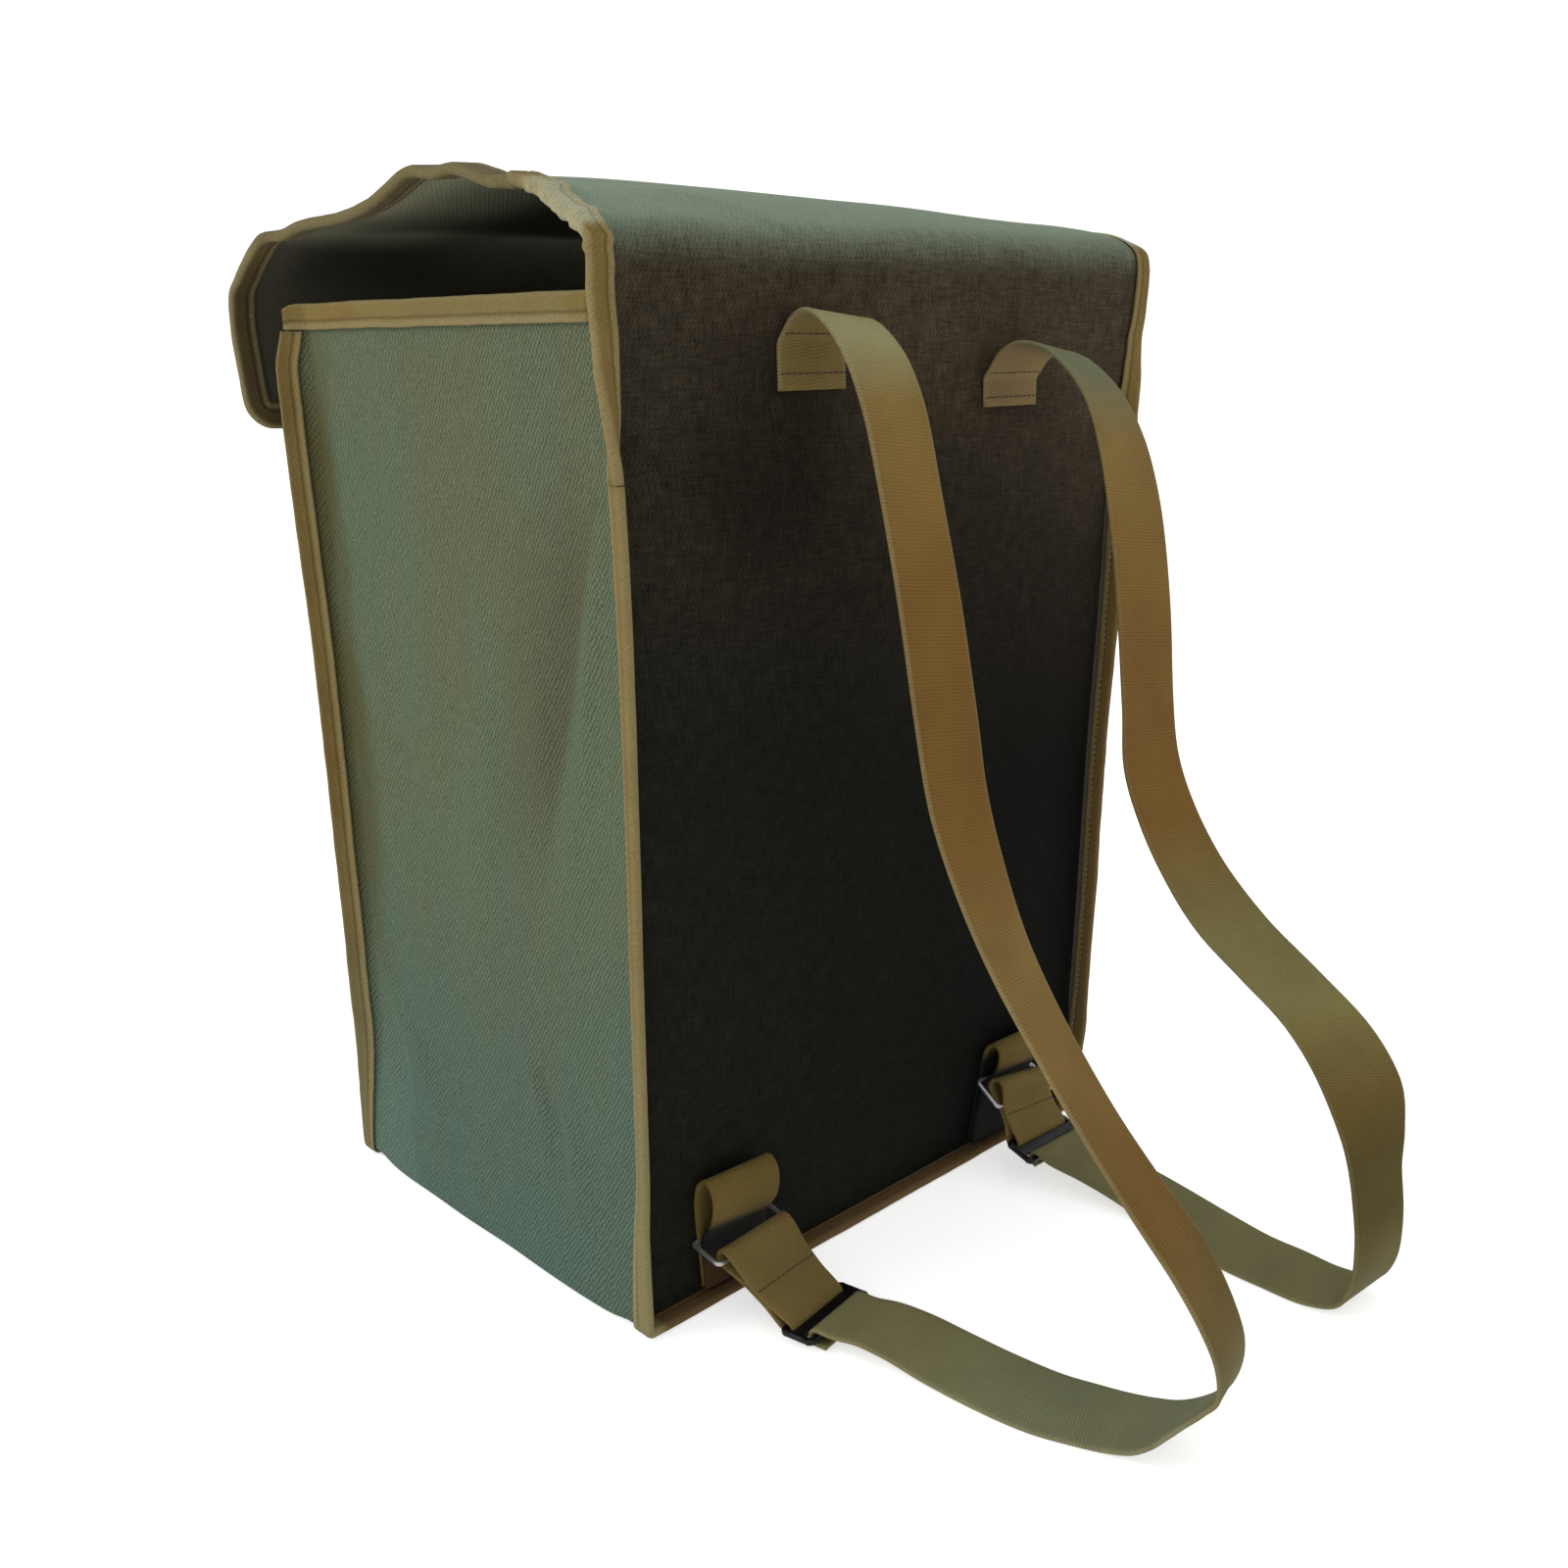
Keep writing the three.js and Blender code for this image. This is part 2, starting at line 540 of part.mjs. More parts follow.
function flapRow(stop) {
  const [right, left] = [flapEdge(stop, 1), flapEdge(stop, -1)];
  const reach = flapEdgeX(stop) - FLAP_EDGE_STRIP;
  const inner = PANEL_COLUMNS.slice(1, -1).map((share) => flapPoint(share * reach, stop.bend));
  return [right.tip, right.bend, ...inner, left.bend, left.tip];
}

function backFlapPanel() {
  const back = panelRows([400, 425, MOUTH_HEIGHT]).map(({ z, half }) =>
    rowAcross(half, PANEL_EDGE_STRIP).map((x) => vec(x, backFace(x, z) - CANVAS / 2, z)),
  );
  return wall([...back, ...FREED_ROWS.map(freedRow), ...flapStops().map(flapRow)], CANVAS);
}

function frontSeamBinding() {
  const stops = seamStops([FRONT_SEAM_TOP, ...SIDE_ROWS]);
  return foldedTape(stops.map((stop) => seamStation(stop, -1)));
}

function backSeamBinding() {
  const stops = seamStops([TAPE_JOINT_HEIGHT - TAPE_JOINT_GAP, ...SIDE_ROWS]);
  return foldedTape(stops.map((stop) => seamStation(stop, 1)));
}

function flapBinding() {
  const up = (sign) => [
    ...[TAPE_JOINT_HEIGHT, 405, MOUTH_HEIGHT].map((z) => seamStation(sideStop(sign, z), 1)),
    ...FREED_ROWS.map((row) => {
      const { tip, bend } = freedEdge(row);
      const stop = sideStop(sign, row.z);
      const out = seamPoint(stop, tip, 1).sub(seamPoint(stop, bend, 1)).normalize();
      return { tip: seamPoint(stop, tip, 1), out, depth: FREED_TAPE_DEPTH };
    }),
    ...flapStops().map((stop) => {
      const { tip, bend } = flapEdge(stop, sign);
      const outward = tip.clone().sub(bend).normalize();
      const down = flapPoint(0, 1).sub(flapPoint(0, HEM_BEND)).normalize();
      const out = outward.multiplyScalar(Math.cos(stop.turn)).addScaledVector(down, Math.sin(stop.turn));
      const grown = Math.min(1, stop.bend / FLAP_TAPE_FULL_AT);
      return { tip, out, depth: lerp(FREED_TAPE_DEPTH, FLAP_TAPE_DEPTH, grown) };
    }),
  ];
  return foldedTape([...up(1), ...up(-1).reverse()]);
}

const UP = vec(0, 0, 1);

function mouthStation(x, y, flat) {
  return { tip: vec(x, y, mouthHeight(y)), out: UP, depth: MOUTH_TAPE_DEPTH, flat };
}

// The tape over the top of a side, from the back to the tip of the front seam
function sideMouthBinding(sign) {
  const stop = sideStop(sign, MOUTH_HEIGHT);
  const back = HALF_DEPTH + SEAM_BEND.past - TAPE_JOINT_GAP;
  const bend = seamPoint(stop, SEAM_BEND, -1);
  const tip = seamPoint(stop, SIDE_SEAM_EDGE, -1);
  const seam = tip.clone().sub(bend).normalize();
  const seamFlat = vec(-seam.y, seam.x, 0).multiplyScalar(sign);
  const sideFlat = vec(sign, 0, 0);
  const mitre = seamFlat.clone().add(sideFlat).normalize();
  mitre.divideScalar(mitre.dot(sideFlat));
  return foldedTape([
    mouthStation(bend.x, back, sideFlat),
    mouthStation(bend.x, 0, sideFlat),
    mouthStation(bend.x, bend.y, mitre),
    mouthStation(tip.x, tip.y, seamFlat),
  ]);
}

function frontMouthBinding() {
  const half = halfWidth(MOUTH_HEIGHT) - FRONT_TAPE_END;
  return foldedTape([half, 0, -half].map((x) => mouthStation(x, CANVAS / 2 - HALF_DEPTH, vec(0, -1, 0))));
}

// A station of webbing that lies on the back panel, out from its face
function sewnStation(x, z, out, width) {
  const edge = width / 2;
  const [right, left] = [x + edge, x - edge].map((edgeX) => vec(edgeX, backFace(edgeX, z) + out, z));
  return { middle: right.clone().add(left).divideScalar(2), across: right.sub(left).normalize() };
}

function keeperLoop({ x, lift, lean }) {
  const folds = new THREE.CatmullRomCurve3(KEEPER_FOLDS.map(({ out, z }) => vec(0, out, z)));
  const low = KEEPER_FOLDS[0].z;
  const stations = folds.getPoints((KEEPER_FOLDS.length - 1) * 2).map(({ y, z }) => {
    const raised = z + lift * smoothstep(z, low, low + 2 * lift);
    return sewnStation(x + (lean * (z - low)) / KEEPER_HEIGHT, raised, y + SEWN_GAP, LOOP_WIDTH);
  });
  return ribbon(stations, LOOP_WIDTH);
}

// A closed wire ring: a rounded rectangle between its two bars
function wireRing({ x, upper, lower }) {
  const halfBar = RING_WIDTH / 2 - WIRE / 2;
  const round = RING_CORNER;
  const height = Math.hypot(lower.y - upper.y, lower.z - upper.z);
  const outline = new THREE.Path();
  outline.absarc(halfBar - round, height - round, round, 0, Math.PI / 2);
  outline.absarc(round - halfBar, height - round, round, Math.PI / 2, Math.PI);
  outline.absarc(round - halfBar, round, round, Math.PI, 1.5 * Math.PI);
  outline.absarc(halfBar - round, round, round, 1.5 * Math.PI, 2 * Math.PI);
  const place = (point) => {
    const share = point.y / height;
    return vec(x + point.x, lerp(upper.y, lower.y, share), lerp(upper.z, lower.z, share));
  };
  const loop = new THREE.CatmullRomCurve3(outline.getPoints(FOLD_FACETS).map(place), true);
  return new THREE.TubeGeometry(loop, RING_FACETS, WIRE / 2, WIRE_FACETS, true);
}

// A flat three-bar slider with two slots for the webbing, its bars along X
function sliderFrame() {
  const rounded = (path, width, from, to, radius) => {
    path.absarc(width / 2 - radius, to - radius, radius, 0, Math.PI / 2);
    path.absarc(radius - width / 2, to - radius, radius, Math.PI / 2, Math.PI);
    path.absarc(radius - width / 2, from + radius, radius, Math.PI, 1.5 * Math.PI);
    path.absarc(width / 2 - radius, from + radius, radius, 1.5 * Math.PI, 2 * Math.PI);
    return path;
  };
  const inset = SLIDER_BEVEL;
  const end = SLIDER_LENGTH / 2 - inset;
  const outline = rounded(new THREE.Shape(), SLIDER_WIDTH - 2 * inset, -end, end, SLIDER_CORNER);
  const slotWidth = SLIDER_WIDTH - 2 * SLIDER_BAR + 2 * inset;
  const near = SLIDER_BAR / 2 - inset;
  const far = SLIDER_LENGTH / 2 - SLIDER_BAR + inset;
  outline.holes.push(rounded(new THREE.Path(), slotWidth, near, far, SLOT_CORNER));
  outline.holes.push(rounded(new THREE.Path(), slotWidth, -far, -near, SLOT_CORNER));
  const bevel = { bevelEnabled: true, bevelThickness: inset, bevelSize: inset, bevelSegments: 1 };
  const depth = SLIDER_BAR - 2 * inset;
  const frame = new THREE.ExtrudeGeometry(outline, { depth, curveSegments: 3, ...bevel });
  return frame.translate(0, 0, -depth / 2);
}

function sliderTurn({ slope, yaw }) {
  return new THREE.Euler(THREE.MathUtils.degToRad(-slope), 0, THREE.MathUtils.degToRad(yaw), "ZXY");
}

// A point in the slider's own plane: along is out from its middle, up is square to it
function onSlider(slider, along, up) {
  return vec(0, along, up).applyEuler(sliderTurn(slider)).add(vec(slider.x, slider.y, slider.z));
}

const BAR_AT = SLIDER_LENGTH / 2 - SLIDER_BAR / 2;
const ALONG_X = vec(1, 0, 0);

// Doubled webbing round the ring's lower bar and the slider's first bar, sewn together between them
function endLoop({ ring, slider }) {
  const bar = vec(ring.x, ring.lower.y, ring.lower.z);
  const sliderBar = onSlider(slider, -BAR_AT, 0);
  const run = sliderBar.clone().sub(bar).setX(0).normalize();
  const up = ALONG_X.clone().cross(run);
  const barAcross = ALONG_X.clone().applyEuler(sliderTurn(slider));
  const arc = (centre, radius, from) =>
    range(FOLD_FACETS + 1).map((i) => {
      const angle = from + (Math.PI * i) / FOLD_FACETS;
      const out = run.clone().multiplyScalar(Math.cos(angle)).addScaledVector(up, Math.sin(angle));
      return centre.clone().addScaledVector(out, radius);
    });
  const pinch = up.clone().multiplyScalar(END_LOOP_PINCH);
  const layer = (share, side) => bar.clone().lerp(sliderBar, share).addScaledVector(pinch, side);
  const at = (middle, share) => ({ middle, across: ALONG_X.clone().lerp(barAcross, share).normalize() });
  const sewn = END_LOOP_SEWN;
  const path = [
    ...arc(bar, WIRE_FOLD, Math.PI / 2).map((middle) => at(middle, 0)),
    at(layer(sewn.from, -1), sewn.from),
    at(layer(sewn.to, -1), sewn.to),
    ...arc(sliderBar, BAR_FOLD, -Math.PI / 2).map((middle) => at(middle, 1)),
    at(layer(sewn.to, 1), sewn.to),
    at(layer(sewn.from, 1), sewn.from),
  ];
  return ribbon(path, LOOP_WIDTH, true);
}

// A strap: sewn flat to the back, over, down in a loop, back along the floor,
// and folded round the slider's last bar
function strap({ sewn, bends }, slider) {
  const sewnOut = SEWN_GAP + WEBBING / 2;
  const start = [sewn.from, sewn.to].map((z) => sewnStation(sewn.x, z, sewnOut, STRAP_WIDTH));
  const rows = [
    ...start.map(({ middle }) => ({ x: middle.x, y: middle.y, z: middle.z, lift: 0, turn: 0 })),
    ...bends,
    { ...onSlider(slider, BAR_AT + STRAP_LEAD, BAR_FOLD), lift: 0, turn: slider.yaw },
  ];
  const path = new THREE.CatmullRomCurve3(rows.map(({ x, y, z }) => vec(x, y, z)));
  const swing = new THREE.CatmullRomCurve3(rows.map(({ lift, turn }, i) => vec(lift, turn, i)));
  const hanging = range((rows.length - 2) * STRAP_STEPS + 1).map((step) => {
    const t = (1 + step / STRAP_STEPS) / (rows.length - 1);
    const [lift, turn] = swing.getPoint(t).toArray().map(THREE.MathUtils.degToRad);
    const across = vec(Math.cos(lift) * Math.cos(turn), Math.cos(lift) * Math.sin(turn), -Math.sin(lift));
    return { middle: path.getPoint(t), across };
  });
  hanging[0] = start[1];
  const fold = range(FOLD_FACETS + 1).map((i) => {
    const angle = Math.PI / 2 + (Math.PI * i) / FOLD_FACETS;
    return onSlider(slider, BAR_AT + BAR_FOLD * Math.cos(angle), BAR_FOLD * Math.sin(angle));
  });
  const tail = [STRAP_TAIL / 2, STRAP_TAIL].map((along) => onSlider(slider, BAR_AT + along, -BAR_FOLD));
  const barAcross = ALONG_X.clone().applyEuler(sliderTurn(slider));
  const end = [...fold, ...tail].map((middle) => ({ middle, across: barAcross }));
  return ribbon([start[0], ...hanging, ...end], STRAP_WIDTH);
}

add("gusset", gusset(), canvas);
add("front_panel", frontPanel(), canvas);
add("back_flap_panel", backFlapPanel(), canvas);
add("front_seam_binding", frontSeamBinding(), tape);
add("back_seam_binding", backSeamBinding(), tape);
add("flap_binding", flapBinding(), tape);
add("front_mouth_binding", frontMouthBinding(), tape);
add("mouth_binding_right", sideMouthBinding(1), tape);
add("mouth_binding_left", sideMouthBinding(-1), tape);

for (const side of ["right", "left"]) {
  const hardware = HARDWARE[side];
  add(`keeper_loop_${side}`, keeperLoop(hardware.keeper), webbing);
  add(`ring_${side}`, wireRing(hardware.ring), steel);
  add(`end_loop_${side}`, endLoop(hardware), webbing);
  const slider = add(`slider_${side}`, sliderFrame(), steel);
  slider.position.copy(onSlider(hardware.slider, 0, 0));
  slider.rotation.copy(sliderTurn(hardware.slider));
  add(`strap_${side}`, strap(STRAPS[side], hardware.slider), webbing);
}

export default backpack;
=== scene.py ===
import math
from collections import namedtuple
from functools import lru_cache

import bmesh
import bpy
from mathutils import Euler, Matrix, Vector, noise


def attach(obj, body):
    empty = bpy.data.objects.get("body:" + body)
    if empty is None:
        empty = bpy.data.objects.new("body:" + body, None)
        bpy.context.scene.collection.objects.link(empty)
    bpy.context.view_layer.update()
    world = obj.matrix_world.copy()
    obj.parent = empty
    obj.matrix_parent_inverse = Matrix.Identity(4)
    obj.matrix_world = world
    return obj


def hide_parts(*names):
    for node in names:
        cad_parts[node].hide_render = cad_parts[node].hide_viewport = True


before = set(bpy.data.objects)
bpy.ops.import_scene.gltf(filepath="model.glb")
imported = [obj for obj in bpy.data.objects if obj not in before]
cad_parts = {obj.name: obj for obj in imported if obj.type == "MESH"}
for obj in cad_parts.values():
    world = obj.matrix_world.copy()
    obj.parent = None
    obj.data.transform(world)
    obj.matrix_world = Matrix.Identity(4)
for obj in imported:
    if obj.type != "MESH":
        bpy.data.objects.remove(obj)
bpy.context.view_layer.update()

MM = 0.001

# The canvas body, in millimetres
MOUTH_HEIGHT = 440
MOUTH_FRONT = 436
BODY_WIDTH = 310.6
WIDTH_GAIN = 15.6
HALF_DEPTH = 112.4
CORNER_RADIUS = 3
CANVAS = 1.2
SIDE_DISH = 3.5
BASE_FLARE = 9.5
BASE_BULGE = 2.2
FLARE_TOP = 80
FRONT_BULGE = 4
BACK_BULGE = 4
BACK_BOW = 5
BACK_BOW_SKEW = 1.8
BACK_BULGE_FULL_AT = 200
FOLD_HEIGHT = 454
FOLD_OUT = 5.2
FOLD_OUT_FROM = 376
LEFT_WAIST = 5
LEFT_FOLD_PULL = 5
FOOT_SKEW = 0.042
FOOT_SKEW_AT = 47

# Where the sag starts and is full, along x, y or z
LEFT_SIDE = (100, 160)
WAIST_FROM, WAIST_TO = (80, 250), (330, 400)
FOLD_CORNER_UP, FOLD_CORNER_OUT = (418, 448), (85, 115)
FOOT_UP, FOOT_OUT = (4, 60), (60, 110)
FOOT_SKEW_MOST = 6

# Seams and binding
TAPE = 1.1
TAPE_CLEARANCE = 0.6
TAPE_NOSE = 1.6
TAPE_HALF = CANVAS / 2 + TAPE_CLEARANCE + TAPE / 2
BACK_TAPE_DEPTH = 7.4
BACK_TAPE_DEPTH_LOW = 5.8
FRONT_TAPE_DEPTH = 9.5
BASE_TAPE_DEPTH = 8.5
FREED_TAPE_DEPTH = 8.6
JOINT_TAPE_DEPTH = 8.6
FLAP_TAPE_DEPTH = 9.8
FLAP_TAPE_FULL_AT = 0.16
MOUTH_TAPE_DEPTH = 9.3
TAPE_JOINT_HEIGHT = 373
TAPE_JOINT_GAP = 0.4
BASE_LIFT = 2.2
SEAM_BEND = Vector((-CANVAS / 2, -4))  # out of the gusset's face, past the panel's face
BACK_SEAM_EDGE = Vector((4.8, 8.6))
BACK_SEAM_EDGE_LOW = Vector((4.4, 7.2))
FRONT_SEAM_EDGE = Vector((7.4, 7.2))
FRONT_SEAM_SPREAD = Vector((2, 2))
BASE_SEAM_EDGE = Vector((-CANVAS / 2, 7.2))
PANEL_EDGE_SIDE = 0.1
PANEL_EDGE_BASE = -1.8
PANEL_EDGE_MOUTH = -3
FRONT_SEAM_TOP = MOUTH_FRONT - MOUTH_TAPE_DEPTH - 2 * TAPE_JOINT_GAP
FRONT_TAPE_END = 4.4
CORNER_TOP = BASE_LIFT + CORNER_RADIUS
CORNER_STEPS = 6
BACK_SEAM_UP = (230, 360)
FRONT_SPREAD_FROM, FRONT_SPREAD_TO = (250, 400), (408, 430)
FRONT_SPREAD_DROP = 1.6

# The flap: one row for each bend, with the heights of its right edge, middle and left edge,
# how far its edges droop, and a bump close to the right edge
FLAP_HALF_WIDTH_BACK = 167.2
FLAP_HALF_WIDTH_FRONT = 170.6
FLAP_EDGE_STRIP = 14
FLAP_EDGE_DROOP = {1: 2, -1: 5.5}
FLAP_CORNER_RADIUS = 10
FLAP_BUMP_REACH = 30
HEM_SPAN = 2
FlapBend = namedtuple("FlapBend", "y right middle left droop bump")
FLAP_BENDS = [
    FlapBend(118.6, 454, 454, 454, 0, 0),
    FlapBend(117.4, 459.5, 460, 461, 0.2, 0),
    FlapBend(112, 465.5, 466.6, 466.4, 0.5, 0),
    FlapBend(105, 469, 470.5, 469.2, 0.7, 0.5),
    FlapBend(97, 472.3, 474.1, 470.8, 0.85, 1.5),
    FlapBend(88, 475.8, 476.9, 472.2, 1, 3.5),
    FlapBend(74, 478.3, 479.5, 472.7, 1, 4.2),
    FlapBend(61, 480.3, 481.1, 472.7, 1, 2),
    FlapBend(51, 482.3, 482.3, 472.5, 1, 2.6),
    FlapBend(42, 483.8, 483.1, 472.2, 1, 3.4),
    FlapBend(34, 484.3, 483.5, 472, 1, 4.2),
    FlapBend(20, 485.3, 484.1, 471.6, 1, 2.2),
    FlapBend(3, 485.6, 484.2, 471.2, 1, 3.4),
    FlapBend(-11.8, 482.5, 482.7, 470.8, 1, 1.8),
    FlapBend(-29.7, 478.2, 480.2, 470.5, 1, 0),
    FlapBend(-52.6, 474.3, 477, 469.5, 1, 0),
    FlapBend(-88, 472.2, 473, 467.8, 1, 0),
    FlapBend(-106, 469, 470.8, 466.6, 1, 0),
    FlapBend(-124.6, 467.8, 468.5, 465, 0.95, 0),
    FlapBend(-138, 461, 465.5, 462, 0.8, 0),
    FlapBend(-151, 450, 457.5, 455, 0.5, 0),
    FlapBend(-159, 443, 443, 441.5, 0.25, 0),
    FlapBend(-159.8, 436, 434, 434, 0.1, 0),
    FlapBend(-158.8, 424, 424, 424, 0, 0),
    FlapBend(-157.2, 411, 411, 411, 0, 0),
    FlapBend(-153.5, 397, 397, 397, 0, 0),
    FlapBend(-148.5, 383, 383, 383, 0, 0),
]
HEM_BEND = 1 - HEM_SPAN / (len(FLAP_BENDS) - 1)

# Above the tape's joint the back's edges swing flat into the flap's tape
Freed = namedtuple("Freed", "z swing")
FREED_ROWS = [
    Freed(373, 0),
    Freed(385, 0.22),
    Freed(400, 0.55),
    Freed(415, 0.85),
    Freed(430, 0.96),
    Freed(454, 1),
]
FREED_STRIP = 13

# Webbing and steel
WEBBING = 2
STRAP_WIDTH = 38
LOOP_WIDTH = 40
SEWN_GAP = 0.4
CLEARANCE = 0.35
WIRE = 2.3
RING_WIDTH = 48
RING_CORNER = 2.4
SLIDER_WIDTH = 48
SLIDER_BAR = 3
SLIDER_CUTS = [-11, -8, -5, 1, 4, 7]  # its three bars and the slots between them
SLIDER_CORNER = 3
BAR_FOLD = SLIDER_BAR * math.sqrt(0.5) + CLEARANCE + WEBBING / 2
LOOP_BAR_AT = -9.5
STRAP_BAR_AT = 5.5
RING_FOLD = 4.4
END_LOOP_PINCH = WEBBING / 2 + CLEARANCE / 2
END_LOOP_SEWN = (0.42, 0.62)
END_SEWN_STOP = 44  # halfway along the upper layer
STRAP_TAIL = {"right": 5, "left": 1.5}
KEEPER_HEIGHT = 58
STRAP_LEADS = (8, 1)
WEBBING_COLUMNS = 12
WEBBING_MIDDLE = 0.9
WEBBING_ROUND = 0.7
WEBBING_EDGE_IN, WEBBING_EDGE_UP = 0.2, 0.6
SELVAGE_FROM, SELVAGE_FULL_AT = 3.2, 2  # in from the edge
SELVAGE_SWELL = 0.12
KEEPER_STEPS = 84
END_LOOP_TILT = 1.5
END_FOLD_STEPS, END_LAYER_STEPS = 10, 16
STRAP_SEWN_STEPS, STRAP_BEND_STEPS, STRAP_FOLD_STEPS, STRAP_TAIL_STEPS = 6, 7, 12, 4
RING_CORNER_STEPS = 6
WIRE_SIDES = 14
SLIDER_BEVEL = 0.9
SHARP_ANGLE = 1.2
SAME_PLACE = 0.001

Keeper = namedtuple("Keeper", "x lean folds")
Ring = namedtuple("Ring", "x upper lower tilt slack")
Slider = namedtuple("Slider", "x y z slope yaw")
# A keeper's folds are distances out from the back panel and heights;
# a ring's slack is how far the end loop's fold stands in and up from its lower bar
HARDWARE = {
    "right": (
        Keeper(103.5, 3, [
            (1.4, 8), (1.4, 24), (1.4, 42), (2.2, 54), (5.2, 62.5), (10.2, 65.5), (14.4, 61),
            (15, 53.5), (13, 46.5), (9.4, 41), (5.8, 36.5), (4.2, 30), (3.8, 20), (3.8, 8),
        ]),
        Ring(105, Vector((116.5, 33.6)), Vector((134.4, 30.6)), -0.075, Vector((0, 1.5))),
        Slider(93.5, 170.8, 5.2, 0, 11),
    ),
    "left": (
        Keeper(-94, 0, [
            (1.4, 8), (1.4, 26), (1.4, 46), (2.2, 59), (5.2, 67), (9.4, 69.5), (13, 66.5),
            (13.4, 60.5), (11.6, 55), (8, 50), (5.2, 45), (4.2, 34), (3.8, 22), (3.8, 8),
        ]),
        Ring(-94, Vector((116.5, 45)), Vector((131, 35)), 0.09, Vector((-4.5, 8))),
        Slider(-95, 148, 15, 18, 0),
    ),
}

# One row for each bend of a strap: lift raises the edge on the wearer's left, turn swings
# the edge on the right outward, both in degrees. Rows of stitches are measured from the sewn end.
Sewn = namedtuple("Sewn", "x low high stitches")
Bend = namedtuple("Bend", "x y z lift turn")
STRAPS = {
    "right": (Sewn(57.5, 404, 422, (6.5, 23)), [
        Bend(56.5, 121.2, 427, -1, 0),
        Bend(56.5, 125.2, 430.8, -4, 0),
        Bend(57, 131.5, 433, -6, 0),
        Bend(57.5, 138.5, 431.8, -7, 1),
        Bend(58, 147, 426.5, -6, 2),
        Bend(58, 156, 417, -3, 3),
        Bend(58, 166, 398.5, 0, 3.5),
        Bend(58, 177, 363, 0, 4),
        Bend(58, 188, 323, 0, 2.5),
        Bend(58, 198, 280, 0, 1.5),
        Bend(58, 206, 247, 0, 3.5),
        Bend(58, 217.3, 220, 0, 8),
        Bend(58, 234.2, 190, 0, 15),
        Bend(58, 257.5, 160, 0, 20),
        Bend(58, 285, 130, 0, 22),
        Bend(58, 309, 107.5, 0, 20.5),
        Bend(58, 331, 88, 0, 18.5),
        Bend(58, 345, 70, 0, 20),
        Bend(58, 350.5, 58, -5, 18),
        Bend(58, 351, 47, -7, 18),
        Bend(57.5, 346.3, 36.8, -11, 14),
        Bend(57, 340, 28, -10, 11),
        Bend(57, 332.5, 19.5, -6, 11),
        Bend(57, 324.5, 12, -2, 14),
        Bend(57.5, 315.5, 6.5, 3, 16),
        Bend(60, 304, 3.4, 5, 18),
        Bend(65.5, 291.5, 3.4, 6, 19),
        Bend(71.5, 276, 3.6, 7, 14),
        Bend(75.5, 252, 3.6, 7, 8),
        Bend(78.5, 228, 4.6, 6, 6),
        Bend(83, 209, 8, 3, 8),
        Bend(88, 196, 10.2, 1, 9),
    ]),
    "left": (Sewn(-70, 393.5, 405, (4, 16)), [
        Bend(-70, 122.6, 410, 0, 0),
        Bend(-69.3, 127.6, 415.6, -3, 1),
        Bend(-68, 137, 419.2, -7, 4),
        Bend(-65.5, 152, 417.5, -8, 9),
        Bend(-63.5, 166, 410.5, -5, 12),
        Bend(-62, 179, 399, -2, 11),
        Bend(-62, 190, 379, 0, 5),
        Bend(-62, 199, 350, 0, 0),
        Bend(-62, 206.5, 311, 0, -1),
        Bend(-62, 212, 270, 0, 0),
        Bend(-62.5, 216, 243, 0, -4),
        Bend(-63.5, 226, 220, 0, -6.5),
        Bend(-66.5, 240, 197, 0, -11),
        Bend(-70.5, 259, 175, 0, -23),
        Bend(-74, 282.5, 157, 0, -36),
        Bend(-77.5, 306, 138.5, 0, -42),
        Bend(-81, 321.5, 117, 0, -35),
        Bend(-85.5, 329, 92, 0, -15),
        Bend(-89, 331.5, 69, 0, -5),
        Bend(-92.5, 334, 43, 0, -4),
        Bend(-94, 333, 20.5, 0, -3),
        Bend(-94.5, 326.5, 7.2, 0, -1),
        Bend(-93.5, 310.5, 2.6, 3, 0),
        Bend(-92.5, 290, 2.9, 5, -3),
        Bend(-92.5, 270, 2.9, 5, -8),
        Bend(-97, 243, 2.9, 5, -9),
        Bend(-102, 217, 3.4, 4, -8),
        Bend(-101.5, 196, 7, 2, -3),
        Bend(-98, 178, 11, 0, 0),
    ]),
}

# Soft creases in the canvas: across and up are the middle, lean is in degrees from upright,
# and rise is outward
Crease = namedtuple("Crease", "across up lean width length rise")
SIDE_CREASES = [
    Crease(92, 300, 14, 6, 62, 2.2),
    Crease(76, 285, 12, 9, 56, -2.0),
    Crease(52, 262, 5, 8, 30, 1.0),
    Crease(-72, 72, -35, 6, 26, 2.9),
    Crease(-86, 60, -32, 8, 30, -2.4),
    Crease(33, 86, -22, 5, 24, 2.6),
    Crease(64, 62, -25, 6, 22, 2.4),
    Crease(46, 70, -24, 7, 26, -2.5),
    Crease(-10, 190, 8, 16, 60, 0.9),
    Crease(-60, 250, -5, 18, 80, -0.8),
    Crease(20, 380, 20, 20, 40, 0.8),
]
BACK_CREASES = [
    Crease(110, 330, 8, 22, 90, 1.2),
    Crease(-20, 240, -6, 26, 110, -1.0),
    Crease(-105, 150, 5, 20, 80, 1.0),
    Crease(60, 90, -12, 18, 60, -0.9),
    Crease(0, 425, 88, 9, 120, 1.0),
]
FLAP_CREASES = [  # up is measured along the flap from the fold
    Crease(87, 29, 52, 4.5, 32, 2.0),
    Crease(93, 18, 52, 8, 32, -1.3),
    Crease(-40, 150, 80, 14, 90, 1.1),
    Crease(60, 215, 84, 12, 80, -1.0),
]

